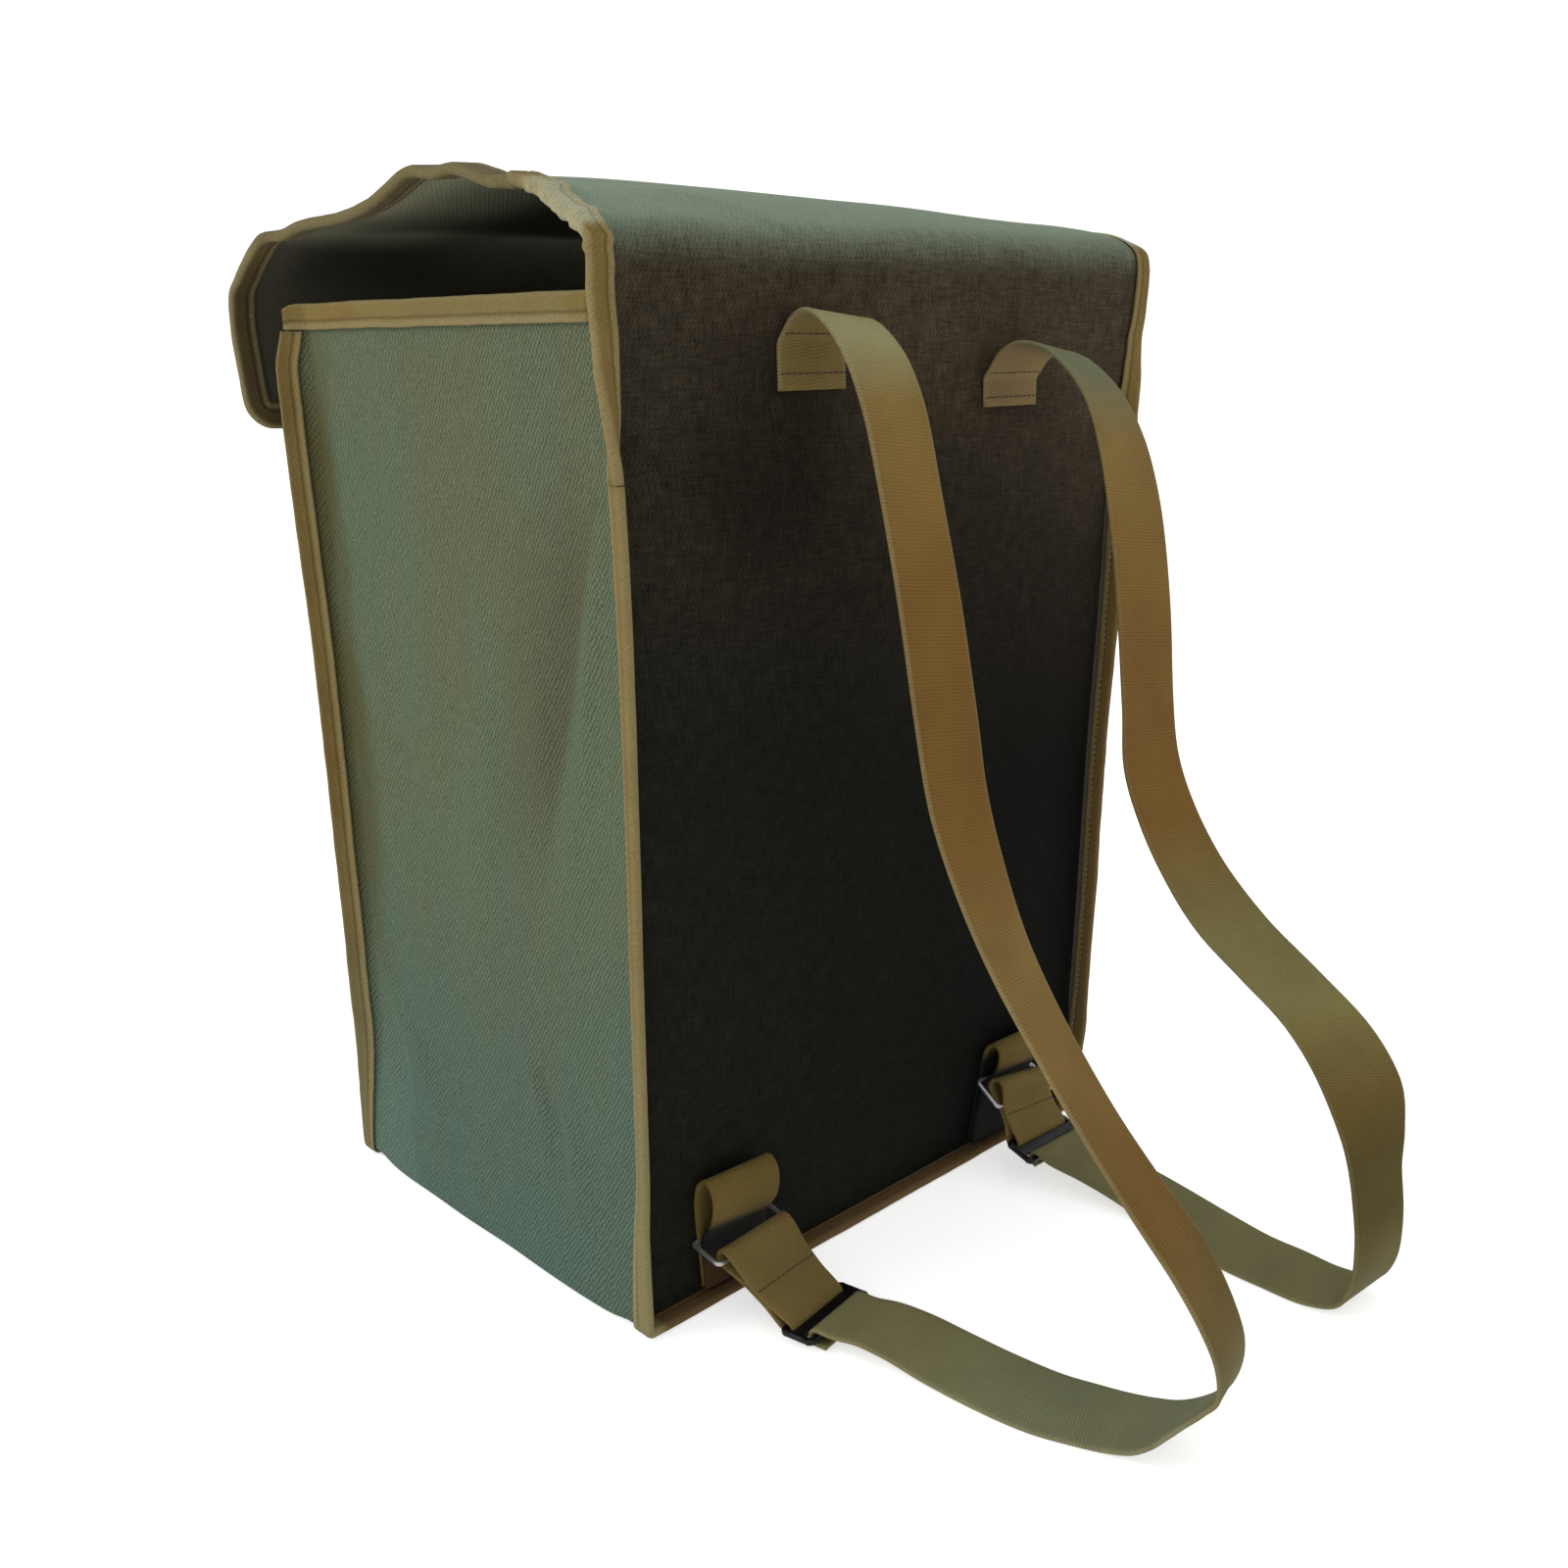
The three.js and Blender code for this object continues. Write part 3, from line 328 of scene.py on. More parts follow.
# How cloth lies between its seams: where it comes free, and the size and height of its unevenness
LIP_COLUMNS = 5
SIDE_COLUMNS = 50
CLOTH_STEP = 5
GUSSET_FREED_LIP = 0.5
GUSSET_FREED_FULL_AT = 392
SIDE_FREE, SIDE_FREE_TOP = (0, 0.25), (4, 40)
SIDE_RUMPLE = (42, 0.7)
BASE_BULGE_FREE, BASE_SETTLE_FREE = (0, 0.6), (0.03, 0.3)
MOUTH_SLOPE_FROM = 330
PANEL_BASE = BASE_LIFT - PANEL_EDGE_BASE
PANEL_LOW_ROWS = [PANEL_BASE, PANEL_BASE + 0.3, PANEL_BASE + 0.7, CORNER_TOP]
PANEL_COLUMNS = 66
PANEL_CROWDING = 0.35  # how much closer the columns stand at the edges
PANEL_RUMPLE = (60, 0.9)
PANEL_RUMPLE_AT = 90
FRONT_ROWS = 86
FRONT_NECK = 8
FRONT_FREE = (0.02, 0.2)
BACK_ROWS, FREED_STEPS, FLAP_STEPS = 73, 22, 130
BACK_FREE, BACK_FREE_FOOT, BACK_FREE_FOLD = (0.05, 0.25), (6, 50), (0, 30)
JOINT_TUCK = 3.9
JOINT_TUCK_LENGTH = 16
JOINT_TUCK_FROM = 0.9
FREED_EASE_FROM = 0.8
FLAP_FREE_FOLD, FLAP_FREE_HEM = (2, 14), (0, 0.1)
FLAP_RUMPLE = (55, 1.0)
FLAP_RUMPLE_AT = 40
FLAP_RUN_STEPS = 40

# Tape and stitches
TAPE_CUT = 0.024
TAPE_STEP = 4
LEG_STEPS = 8
NOSE_STEPS = 6
STITCH_IN = 2.3  # rows of stitches from the tape's edges
STITCH_GROOVE = 0.25
STITCH_GROOVE_WIDTH = 0.8
STITCH_PITCH = 3.3
STITCH_LENGTH = 2.5
THREAD = 0.6
STRAP_STITCH_LENGTH = 3.7
STRAP_THREAD = 0.8
STRAP_STITCH_IN = 2
STRAP_STITCH_SEAT = 0.46
TAPE_RUMPLE, TAPE_WANDER = (9, 0.22), (40, 0.35)
TAPE_LEGS_APART = 4
GATHER_SWELL = 0.6
FREED_DEPTH_FULL_AT = 405
FLAP_TAPE_STEPS, FLAP_TURN_STEPS, HEM_STEPS = 124, 9, 72
MOUTH_STEPS, SIDE_MOUTH_STEPS = 72, 52
SIDE_MOUTH_TURN_AT = 3
PUCKER_OUT, PUCKER_UP, PUCKER_RIGHT = (50, 72), (448, 462), (0, 50)
PUCKER_SWELL, PUCKER_PACE = 0.7, 0.62
PUCKER_RUMPLE = (5, 2.0)
WAVER_SWELL, WAVER_PACE = 0.25, 0.21
# Where a side's mouth tape turns into the front seam: share of the turn's length, how far it has
# turned, and how far it has dropped
MouthTurn = namedtuple("MouthTurn", "share turn drop")
MOUTH_TURNS = [
    MouthTurn(0, 0.5, 0),
    MouthTurn(0.25, 0.85, 0),
    MouthTurn(0.5, 1, 0.1),
    MouthTurn(0.75, 1, 0.6),
    MouthTurn(1, 1, 2),
]

# Colours of canvas and tape
SAGE_GREEN, SAGE_KHAKI, SAGE_BLUE = (0.070, 0.090, 0.053), (0.078, 0.078, 0.040), (0.051, 0.086, 0.070)
# The crease olive is painted shade along a crease; the seam olive is partly painted shade beside the
# front seam's tape
CREASE_SHADE_OLIVE, SEAM_OLIVE_SHADE = (0.056, 0.053, 0.029), (0.046, 0.042, 0.014)
# The back's charcoal is painted darker low down and to the left as shade, and browner upward as painted
# light
# The flap's grey green is partly its own colour and partly painted light over the fold
CHARCOAL_AND_SHADE, LIT_BACK_BROWN, FOLD_GREEN_LIT = (0.0064, 0.0064, 0.0042), (0.041, 0.0305, 0.0175), (0.136, 0.172, 0.122)
# The inside colours are darker partly as painted shade; the under-flap colours are painted light
INSIDE_SHADE_DARK, INSIDE_SHADE_GREY = (0.054, 0.050, 0.036), (0.062, 0.058, 0.043)
UNDER_LIT_BUFF, UNDER_LIT_GREEN = (0.160, 0.150, 0.098), (0.130, 0.142, 0.090)
# The worn pale tape colour is partly wear and partly painted highlight
TAPE_KHAKI, TAPE_STAIN, TAPE_WORN_LIT = (0.138, 0.098, 0.031), (0.112, 0.072, 0.019), (0.205, 0.172, 0.088)
# The base tape's brown is partly painted shade, and the left tape's dark is painted shade
TAPE_BASE_SHADE, TAPE_FOOT, TAPE_LEFT_SHADE = (0.080, 0.047, 0.018), (0.160, 0.160, 0.085), (0.072, 0.042, 0.014)
TAPE_HEM, TAPE_FLAP = (0.078, 0.062, 0.029), (0.078, 0.066, 0.029)
# The pale gather colour is painted highlight
TAPE_MOUTH, TAPE_GATHER_HIGHLIGHT = (0.130, 0.106, 0.045), (0.270, 0.270, 0.180)

# Colours of webbing, thread and steel
# Pale, khaki, olive and the floor run's green are painted sheen where a strap faces up
GOLD, PALE_SHEEN, TAN = (0.150, 0.106, 0.034), (0.180, 0.172, 0.078), (0.150, 0.096, 0.026)
BROWN, ROSE, KHAKI_SHEEN = (0.124, 0.066, 0.013), (0.176, 0.120, 0.052), (0.140, 0.122, 0.045)
# Dusk is painted shade
OLIVE_SHEEN, DUSK_SHADE, SOILED = (0.128, 0.119, 0.052), (0.062, 0.044, 0.009), (0.100, 0.068, 0.018)
SHADED, FLOOR_RUN_SHEEN = (0.100, 0.107, 0.054), (0.123, 0.129, 0.068)
# The keepers' near-black is painted shade, and the dark brown is their brown painted darker as shade
KEEPER_SHADE, BROWN_SHADE = (0.006, 0.006, 0.005), (0.036, 0.019, 0.007)
LOOP_TAN, LOOP_BROWN = (0.122, 0.086, 0.027), (0.120, 0.080, 0.026)
# The worn edge colour is partly wear, partly painted highlight
WORN_LIT_EDGE = (0.190, 0.165, 0.090)
# Bare steel marks are partly wear, partly painted glints
BARE_STEEL_GLINT = (0.50, 0.47, 0.45)
TAN_COTTON, BROWN_COTTON = (0.17, 0.13, 0.06), (0.050, 0.027, 0.010)
STRAP_LENGTH = 0.72  # webbing's colours are placed along this length, in metres

# Weave, in metres and degrees
TWILL_LEAN, TWILL_PITCH = -33, 0.0020
CROSS_LEAN, CROSS_PITCH = 38, 0.0019
TWILL_WANDER, TWILL_FINER = 4.5, 1.5
YARN, YARN_STRETCH = 0.0011, 0.11
CANVAS_FUZZ, TAPE_FUZZ, WEBBING_FUZZ = 0.0018, 0.0014, 0.0012
TAPE_FIBRE_LEAN, TAPE_FIBRE_PITCH = 55, 0.0016
RIB_LEAN, RIB_PITCH, WARP_PITCH = 97, 0.0014, 0.0011
PLY_LEAN, PLY_PITCH = 35, 0.0006

# Studio, in metres
FLOOR_REACH = 12
WINDOW_AT, WINDOW_AIM = Vector((2.2, -1.2, 1.7)), Vector((0, 0, 0.2))


def lerp(a, b, share):
    return a + (b - a) * share


def clamp(value, low=0.0, high=1.0):
    return max(low, min(high, value))


def smoothstep(value, low, high):
    share = clamp((value - low) / (high - low))
    return share * share * (3 - 2 * share)


def spread(start, end, count):
    return [lerp(start, end, i / count) for i in range(count + 1)]


def along_table(rows, z, column):
    """The value of a column between the rows of a table that are sorted by z."""
    for low, high in zip(rows, rows[1:]):
        if z <= high.z:
            share = clamp((z - low.z) / (high.z - low.z))
            return lerp(getattr(low, column), getattr(high, column), share)
    return getattr(rows[-1], column)


def bend_line(points, share):
    """A place on the smooth line through points, share of the way by rows."""
    last = len(points) - 1
    step = min(share * last, last - 1e-6)
    i = int(step)
    t = step - i
    a, b = points[i], points[i + 1]
    before = points[i - 1] if i else a + (a - b)
    after = points[i + 2] if i + 2 <= last else b + (b - a)
    spans = ((before, a), (a, b), (b, after))
    first, middle, final = [max((q - p).length, 1e-3) ** 0.5 for p, q in spans]
    leave = ((a - before) / first - (b - before) / (first + middle) + (b - a) / middle) * middle
    arrive = ((b - a) / middle - (after - a) / (middle + final) + (after - b) / final) * middle
    curl = 3 * (b - a) - 2 * leave - arrive
    return a + t * (leave + t * (curl + t * (2 * (a - b) + leave + arrive)))


def creased(creases, across, up):
    """How far the soft creases lift the cloth at a place."""
    lift = 0.0
    for crease in creases:
        turn = math.radians(crease.lean)
        dx, dz = across - crease.across, up - crease.up
        off = (dx * math.cos(turn) - dz * math.sin(turn)) / crease.width
        run = (dx * math.sin(turn) + dz * math.cos(turn)) / crease.length
        lift += crease.rise * math.exp(-off * off - run * run)
    return lift


def rumple(x, y, z, size, height):
    """Slight unevenness of laid cloth."""
    return height * noise.noise(Vector((x, y, z)) / size)


# The body's surfaces
def flare_share(z):
    return 1 - smoothstep(z, 0, FLARE_TOP)


def half_width(z):
    return (BODY_WIDTH + WIDTH_GAIN * (z / MOUTH_HEIGHT - 0.5)) / 2 + BASE_FLARE * flare_share(z)


def back_bow(z):
    return BACK_BOW * math.sin(math.pi * clamp(z / MOUTH_HEIGHT) ** BACK_BOW_SKEW)


def back_face(x, z):
    rise = math.sin(math.pi / 2 * min(1, z / BACK_BULGE_FULL_AT))
    dome = 1 - min(1, abs(x) / half_width(z)) ** 2
    freed = smoothstep(z, FOLD_OUT_FROM, FOLD_HEIGHT)
    return HALF_DEPTH + back_bow(z) + BACK_BULGE * rise * dome + FOLD_OUT * freed * (1 - dome)


def mouth_height(y):
    return lerp(MOUTH_FRONT, MOUTH_HEIGHT, clamp((y + HALF_DEPTH) / (2 * HALF_DEPTH)))


def settled(point):
    """A place on the body once the bag has sagged: the left side is drawn in at the waist,
    its fold corner is pulled out, and the back's foot stands askew."""
    x, y, z = point
    left = smoothstep(-x, *LEFT_SIDE)
    waist = LEFT_WAIST * smoothstep(z, *WAIST_FROM) * (1 - smoothstep(z, *WAIST_TO)) * left
    corner = LEFT_FOLD_PULL * smoothstep(z, *FOLD_CORNER_UP) * smoothstep(y, *FOLD_CORNER_OUT) * left
    foot = (1 - smoothstep(z, *FOOT_UP)) * smoothstep(y, *FOOT_OUT)
    askew = clamp(FOOT_SKEW * (x - FOOT_SKEW_AT), -FOOT_SKEW_MOST, FOOT_SKEW_MOST)
    return Vector((x + waist - corner, y + askew * foot, z))


# A stop on the line where the gusset meets a panel: its place on the gusset's face, the way out
# of the face, and base, which runs from 0 up a side to 1 at the bottom
Stop = namedtuple("Stop", "x z nx nz base")
CORNER_REACH = half_width(CORNER_TOP) - CORNER_RADIUS


def side_stop(sign, z):
    return Stop(sign * half_width(z), z, sign, 0.0, flare_share(z))


def corner_stop(sign, share):
    angle = math.pi / 2 * share
    out, down = math.cos(angle), math.sin(angle)
    x = sign * (CORNER_REACH + CORNER_RADIUS * out)
    return Stop(x, CORNER_TOP - CORNER_RADIUS * down, sign * out, -down, 1.0)


def side_stops(sign, top, step):
    """Stops down one side and round its corner."""
    heights = spread(top, CORNER_TOP, round((top - CORNER_TOP) / step))[:-1]
    corner = [corner_stop(sign, share) for share in spread(0, 1, CORNER_STEPS)]
    return [side_stop(sign, z) for z in heights] + corner


def seam_stops(top, step):
    """Stops down one side, along the bottom and up the other."""
    places = spread(CORNER_REACH, -CORNER_REACH, round(2 * CORNER_REACH / step))[1:-1]
    bottom = [Stop(x, BASE_LIFT, 0.0, -1.0, 1.0) for x in places]
    return side_stops(1, top, step) + bottom + side_stops(-1, top, step)[::-1]


def seam_point(stop, edge, side):
    bow = back_bow(stop.z) if side > 0 else 0
    y = side * (HALF_DEPTH + bow + edge.y)
    return Vector((stop.x + edge.x * stop.nx, y, stop.z + edge.x * stop.nz))


def back_seam_share(z):
    return smoothstep(z, *BACK_SEAM_UP)


def front_seam_edge(z):
    opened = smoothstep(z, *FRONT_SPREAD_FROM) - FRONT_SPREAD_DROP * smoothstep(z, *FRONT_SPREAD_TO)
    return FRONT_SEAM_EDGE + FRONT_SEAM_SPREAD * opened


def seam_edge(stop, side):
    if side > 0:
        edge = BACK_SEAM_EDGE_LOW.lerp(BACK_SEAM_EDGE, back_seam_share(stop.z))
    else:
        edge = front_seam_edge(stop.z)
    return edge.lerp(BASE_SEAM_EDGE, stop.base)


# The flap's middle surface: bend runs from 0 at the fold to 1 at the hem
FLAP_LINES = [
    [Vector((row.y, getattr(row, column), row.droop, row.bump)) for row in FLAP_BENDS]
    for column in ("right", "middle", "left")
]


@lru_cache(None)
def flap_section(bend):
    return [bend_line(line, bend) for line in FLAP_LINES]


def flap_half_width(bend):
    return lerp(FLAP_HALF_WIDTH_BACK, FLAP_HALF_WIDTH_FRONT, bend)


def flap_point(x, bend):
    right, middle, left = flap_section(bend)
    share = x / flap_half_width(bend)
    crown = middle.y - (right.y + left.y) / 2
    bump = middle.w * smoothstep(x, flap_half_width(bend) - FLAP_BUMP_REACH, flap_half_width(bend))
    return Vector((x, middle.x, middle.y + share * (right.y - left.y) / 2 - crown * share ** 2 + bump))


def flap_inward(x, bend):
    step = 0.5 / len(FLAP_BENDS)
    along = flap_point(x, min(bend + step, 1)) - flap_point(x, max(bend - step, 0))
    return Vector((1, 0, 0)).cross(along.normalized())


@lru_cache(None)
def flap_run(bend):
    """Length along the middle of the flap from the fold."""
    steps = [flap_point(0, share) for share in spread(0, bend, FLAP_RUN_STEPS)]
    return sum((b - a).length for a, b in zip(steps, steps[1:]))


HEM_DOWN = (flap_point(0, 1) - flap_point(0, HEM_BEND)).normalized()
HEM_LENGTH = (flap_point(0, 1) - flap_point(0, HEM_BEND)).length


def corner_bend(turn):
    """Where a stop of the flap's rounded corner lies along the flap."""
    return 1 - (1 - HEM_BEND) * FLAP_CORNER_RADIUS * (1 - math.sin(turn)) / HEM_LENGTH


def flap_edge(sign, bend, turn=0.0):
    x = sign * (flap_half_width(bend) - FLAP_CORNER_RADIUS * (1 - math.cos(turn)))
    droop = FLAP_EDGE_DROOP[sign] * flap_section(bend)[1].z
    tip = flap_point(x, bend) + flap_inward(x, bend) * droop
    out = (tip - flap_point(x - sign * FLAP_EDGE_STRIP, bend)).normalized()
    return tip, out * math.cos(turn) + HEM_DOWN * math.sin(turn)


# Meshes
def in_scene(name, data):
    item = bpy.data.objects.new(name, data)
    bpy.context.scene.collection.objects.link(item)
    return item


def mesh_from(bm, name, material):
    mesh = bpy.data.meshes.new(name)
    bm.to_mesh(mesh)
    bm.free()
    mesh.materials.append(material)
    return mesh


def piece_from(bm, name, material):
    for face in bm.faces:
        face.smooth = True
    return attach(in_scene(name, mesh_from(bm, name, material)), "root")


def cut_panel(rows, columns, place):
    """A flat cut grid whose places are then laid where place(row, column) says,
    with the cut kept as its UV map."""
    bm = bmesh.new()
    bmesh.ops.create_grid(bm, x_segments=columns, y_segments=rows, size=0.5)
    cut = bm.loops.layers.uv.new("cut")
    flat = {}
    for vert in bm.verts:
        row, column = round((vert.co.y + 0.5) * rows), round((vert.co.x + 0.5) * columns)
        point, flat[vert] = place(row, column)
        vert.co = point * MM
    for face in bm.faces:
        for loop in face.loops:
            loop[cut].uv = flat[loop.vert]
    return bm


def thicken(piece, thickness, inside=None):
    wall = piece.modifiers.new("wall", "SOLIDIFY")
    wall.thickness = thickness * MM
    wall.offset = 0
    wall.use_even_offset = True
    if inside:
        piece.data.materials.append(inside)
        wall.material_offset = 1
    return piece


def run_lengths(points):
    lengths = [0.0]
    for a, b in zip(points, points[1:]):
        lengths.append(lengths[-1] + (b - a).length)
    return lengths


# Shader sockets that take part in sums
class Shade:
    def __init__(self, tree, socket=None):
        self.tree = tree
        self.socket = socket

    def make(self, kind, settings=None, inputs=None, output=0):
        """Any node: its settings first, then the values or links of its sockets."""
        node = self.tree.nodes.new(kind)
        for name, value in (settings or {}).items():
            if name == "stops":
                while len(node.color_ramp.elements) < len(value):
                    node.color_ramp.elements.new(1.0)
                for element, (place, colour) in zip(node.color_ramp.elements, value):
                    element.position = place
                    element.color = (*colour, 1.0)
            else:
                setattr(node, name, value)
        for name, value in (inputs or {}).items():
            if isinstance(value, Shade):
                self.tree.links.new(value.socket, node.inputs[name])
            else:
                node.inputs[name].default_value = value
        return Shade(self.tree, node.outputs[output])

    def sum(self, operation, a, b):
        return self.make("ShaderNodeMath", {"operation": operation}, {0: a, 1: b})

    def __add__(self, other):
        return self.sum("ADD", self, other)

    __radd__ = __add__

    def __sub__(self, other):
        return self.sum("SUBTRACT", self, other)

    def __rsub__(self, other):
        return self.sum("SUBTRACT", other, self)

    def __mul__(self, other):
        return self.sum("MULTIPLY", self, other)

    __rmul__ = __mul__

    def squared(self):
        return self * self

    def step(self, low, high):
        """0 below low to 1 above high, smoothly."""
        return self.make(
            "ShaderNodeMapRange", {"interpolation_type": "SMOOTHSTEP"},
            {"Value": self, "From Min": low, "From Max": high},
        )

    def mixed(self, other, share):
        """This colour turned into another colour or shade by a share."""
        end = other if isinstance(other, Shade) else (*other, 1.0)
        return self.make("ShaderNodeMix", {"data_type": "RGBA"}, {0: share, 6: self, 7: end}, 2)

    def scaled(self, value):
        return self.make("ShaderNodeVectorMath", {"operation": "SCALE"}, {0: self, "Scale": value})

    def size(self):
        return self.make("ShaderNodeMath", {"operation": "ABSOLUTE"}, {0: self})

    def part(self, axis):
        return self.make("ShaderNodeSeparateXYZ", None, {0: self}, axis)

    def parts(self):
        return [self.part(axis) for axis in range(3)]


class Finish:
    """A material whose principled shader takes shades."""

    def __init__(self, name, **constants):
        self.material = bpy.data.materials.new(name)
        self.material.use_nodes = True
        self.tree = self.material.node_tree
        self.shader = self.tree.nodes["Principled BSDF"]
        for socket, value in constants.items():
            self.shader.inputs[socket.replace("_", " ")].default_value = value
        self.shade = Shade(self.tree)

    def cut(self):
        return self.shade.make("ShaderNodeUVMap", {"uv_map": "cut"})

    def place(self):
        return self.shade.make("ShaderNodeTexCoord", None, None, "Object")

    def colour(self, colour):
        red, green, blue = colour
        return self.shade.make("ShaderNodeCombineColor", None, {0: red, 1: green, 2: blue})

    def turned(self, vector, degrees, scale=(1, 1, 1)):
        values = {"Vector": vector, "Rotation": (0, 0, math.radians(degrees)), "Scale": scale}
        return self.shade.make("ShaderNodeMapping", None, values)

    def cloud(self, vector, size, detail=2.0, roughness=0.5):
        """Soft noise with features of about this size in metres."""
        values = {"Vector": vector, "Scale": 1 / size, "Detail": detail, "Roughness": roughness}
        return self.shade.make("ShaderNodeTexNoise", None, values)

    def ribs(self, vector, pitch, wander=0.0, finer=2.0):
        """Ridges across X of the vector, a pitch apart in metres."""
        scale = math.pi / 10 / pitch
        values = {"Vector": vector, "Scale": scale, "Distortion": wander, "Detail Scale": finer}
        return self.shade.make("ShaderNodeTexWave", {"wave_profile": "SIN"}, values)

    def relief(self, height, depth, strength=1.0):
        values = {"Height": height, "Distance": depth, "Strength": strength}
        self.feed("Normal", self.shade.make("ShaderNodeBump", None, values))

    def feed(self, socket, shade):
        self.tree.links.new(shade.socket, self.shader.inputs[socket])


# In the tints, steps of width, depth and height are places on the bag in metres,
# and steps of clouds are shares of the noise
def woven_canvas(name, tint, diagonal, contrast):
    """Canvas: tint gives its colour and where its weave shows less,
    and diagonal is how far the twill's lines lead."""
    finish = Finish(name, Sheen_Weight=0.01, Sheen_Roughness=0.5, Specular_IOR_Level=0.06)
    cut = finish.cut()
    twill = finish.ribs(finish.turned(cut, TWILL_LEAN), TWILL_PITCH, TWILL_WANDER, TWILL_FINER)
    cross = finish.ribs(finish.turned(cut, CROSS_LEAN), CROSS_PITCH, TWILL_WANDER, TWILL_FINER)
    warp = finish.cloud(finish.turned(cut, 0, (1, YARN_STRETCH, 1)), YARN, 1.0)
    weft = finish.cloud(finish.turned(cut, 0, (YARN_STRETCH, 1, 1)), YARN, 1.0)
    fuzz = finish.cloud(cut, CANVAS_FUZZ, 3.0, 0.7)
    weave = (twill * 0.62 + cross * 0.38) * diagonal
    weave = weave + ((warp + weft) * 0.4 + fuzz * 0.2) * (1 - diagonal)
    colour, plainer = tint(finish)
    finish.feed("Base Color", colour.scaled((weave * 2 - 1) * (contrast * (1 - plainer)) + 1))
    finish.feed("Roughness", 0.97 - weave * 0.12)
    finish.relief(weave, 0.0008, 0.6)
    return finish.material


def sage_tint(finish):
    """Sage green with browner patches and bluer low down; olive beside the front seam, partly painted
    shade there; painted shade along a crease and a painted highlight low in front.
    """
    place = finish.place()
    width, depth, height = place.parts()
    broad = finish.cloud(finish.turned(place, 0, (1, 1, 0.5)), 0.07, 2.0).step(0.32, 0.68)
    streak = finish.cloud(finish.turned(place, 0, (1, 1, 0.25)), 0.03, 3.0).step(0.36, 0.7)
    tint = finish.colour(SAGE_GREEN).mixed(SAGE_KHAKI, broad * 0.6 + height.step(0.2, 0.5) * 0.15)
    tint = tint.mixed(SAGE_BLUE, streak * 0.2 + (1 - height.step(0.02, 0.24)) * 0.7)
    right = width.step(0, 0.05)
    # Painted shade: olive darkening along a crease on the right side, where shade falls beside the fold
    off_fold = depth - height * 0.33 + 0.016
    folded = off_fold.step(-0.070, -0.004) * (1 - off_fold.step(-0.004, 0.004))
    folded = folded * height.step(0.17, 0.26) * (1 - height.step(0.32, 0.40)) * right
    tint = tint.mixed(CREASE_SHADE_OLIVE, folded * 0.65)
    # Painted highlight: the cloth is brightened low near the front of the right side, where a raised
    # ridge catches the light
    ridge_highlight = (1 - (depth + height * 0.33 + 0.060).step(-0.005, 0.002)) * (1 - height.step(0.09, 0.16))
    tint = tint.scaled(ridge_highlight * right * 0.16 + 1)
    # Olive beside the front seam: partly the cloth's tone, partly painted shade where the tape stands
    # off the panel
    seam = (1 - (depth + streak * 0.012).step(-0.107, -0.080)) * height.step(0.04, 0.22)
    seam = seam * (1 - height.step(0.37, 0.43) * 0.7) * width.size().step(0.140, 0.153)
    return tint.mixed(SEAM_OLIVE_SHADE, seam * 0.85), seam * 0.3


def back_tint(finish):
    """Charcoal on the back, darker low down and towards the left as painted shade, browner upward as
    painted light, with a painted shadow beside the strap and grey green over the fold and the flap.
    """
    place = finish.place()
    width, depth, height = place.parts()
    patches = finish.cloud(place, 0.06, 3.0)
    mottle = finish.cloud(place, 0.007, 2.0)
    # Painted shade and light: the charcoal darkens to the left and low down, and turns browner upward
    charcoal_in_shade = finish.colour(CHARCOAL_AND_SHADE).scaled(width * 3.4 + 0.68)
    painted_uplight = (height - width * 0.3 + patches * 0.1).step(0.39, 0.50) * 0.55
    painted_uplight = painted_uplight + (height - width * 0.2).step(0.22, 0.38) * 0.33
    # Painted shadow: a soft dark patch beside the right strap's sewn end, cast by the strap's arc
    off_strap = ((width - 0.085) * 28).squared() + ((height - 0.385) * 22).squared()
    strap_shadow = 1 - off_strap.step(0, 2.2)
    tint = charcoal_in_shade.mixed(LIT_BACK_BROWN, painted_uplight).scaled((mottle * 0.9 + 0.55) * (1 - strap_shadow * 0.4))
    # Grey green over the fold and the flap: partly the flap's own colour, partly painted light where the
    # cloth turns up
    over = (height - depth * 0.4 + patches * 0.01).step(0.4045, 0.4365)
    return tint.mixed(FOLD_GREEN_LIT, over), over * 0.76


def inside_shade_tint(finish):
    """Dark inside the bag, partly as painted shade, with painted light and shade near the top; brown
    green under the flap only where painted light falls in from the open side.
    """
    place = finish.place()
    width, depth, height = place.parts()
    patches = finish.cloud(place, 0.03, 3.0)
    inside = finish.colour(INSIDE_SHADE_DARK).mixed(INSIDE_SHADE_GREY, patches)
    # Painted light and shade inside near the top: brightest to the left, darkest right of the middle
    top_inside_shading = 1.25 - width.step(0.02, 0.09) * 0.7 + width.step(0.130, 0.160) * 0.45
    inside = inside.scaled(1 + (top_inside_shading - 1) * height.step(0.440, 0.458))
    # Painted light: the underside is brown green where light comes in, painted darker towards the front
    under = finish.colour(UNDER_LIT_BUFF).mixed(UNDER_LIT_GREEN, patches)
    under = under.scaled(depth.step(-0.085, -0.045) * 0.35 + 0.95)
    shaded = (depth - width * 0.25).step(-0.02, 0.04)
    lit = width.step(0.055, 0.105) * height.step(0.461, 0.472)
    return inside.mixed(under, lit * (1 - shaded)), patches * 0.2


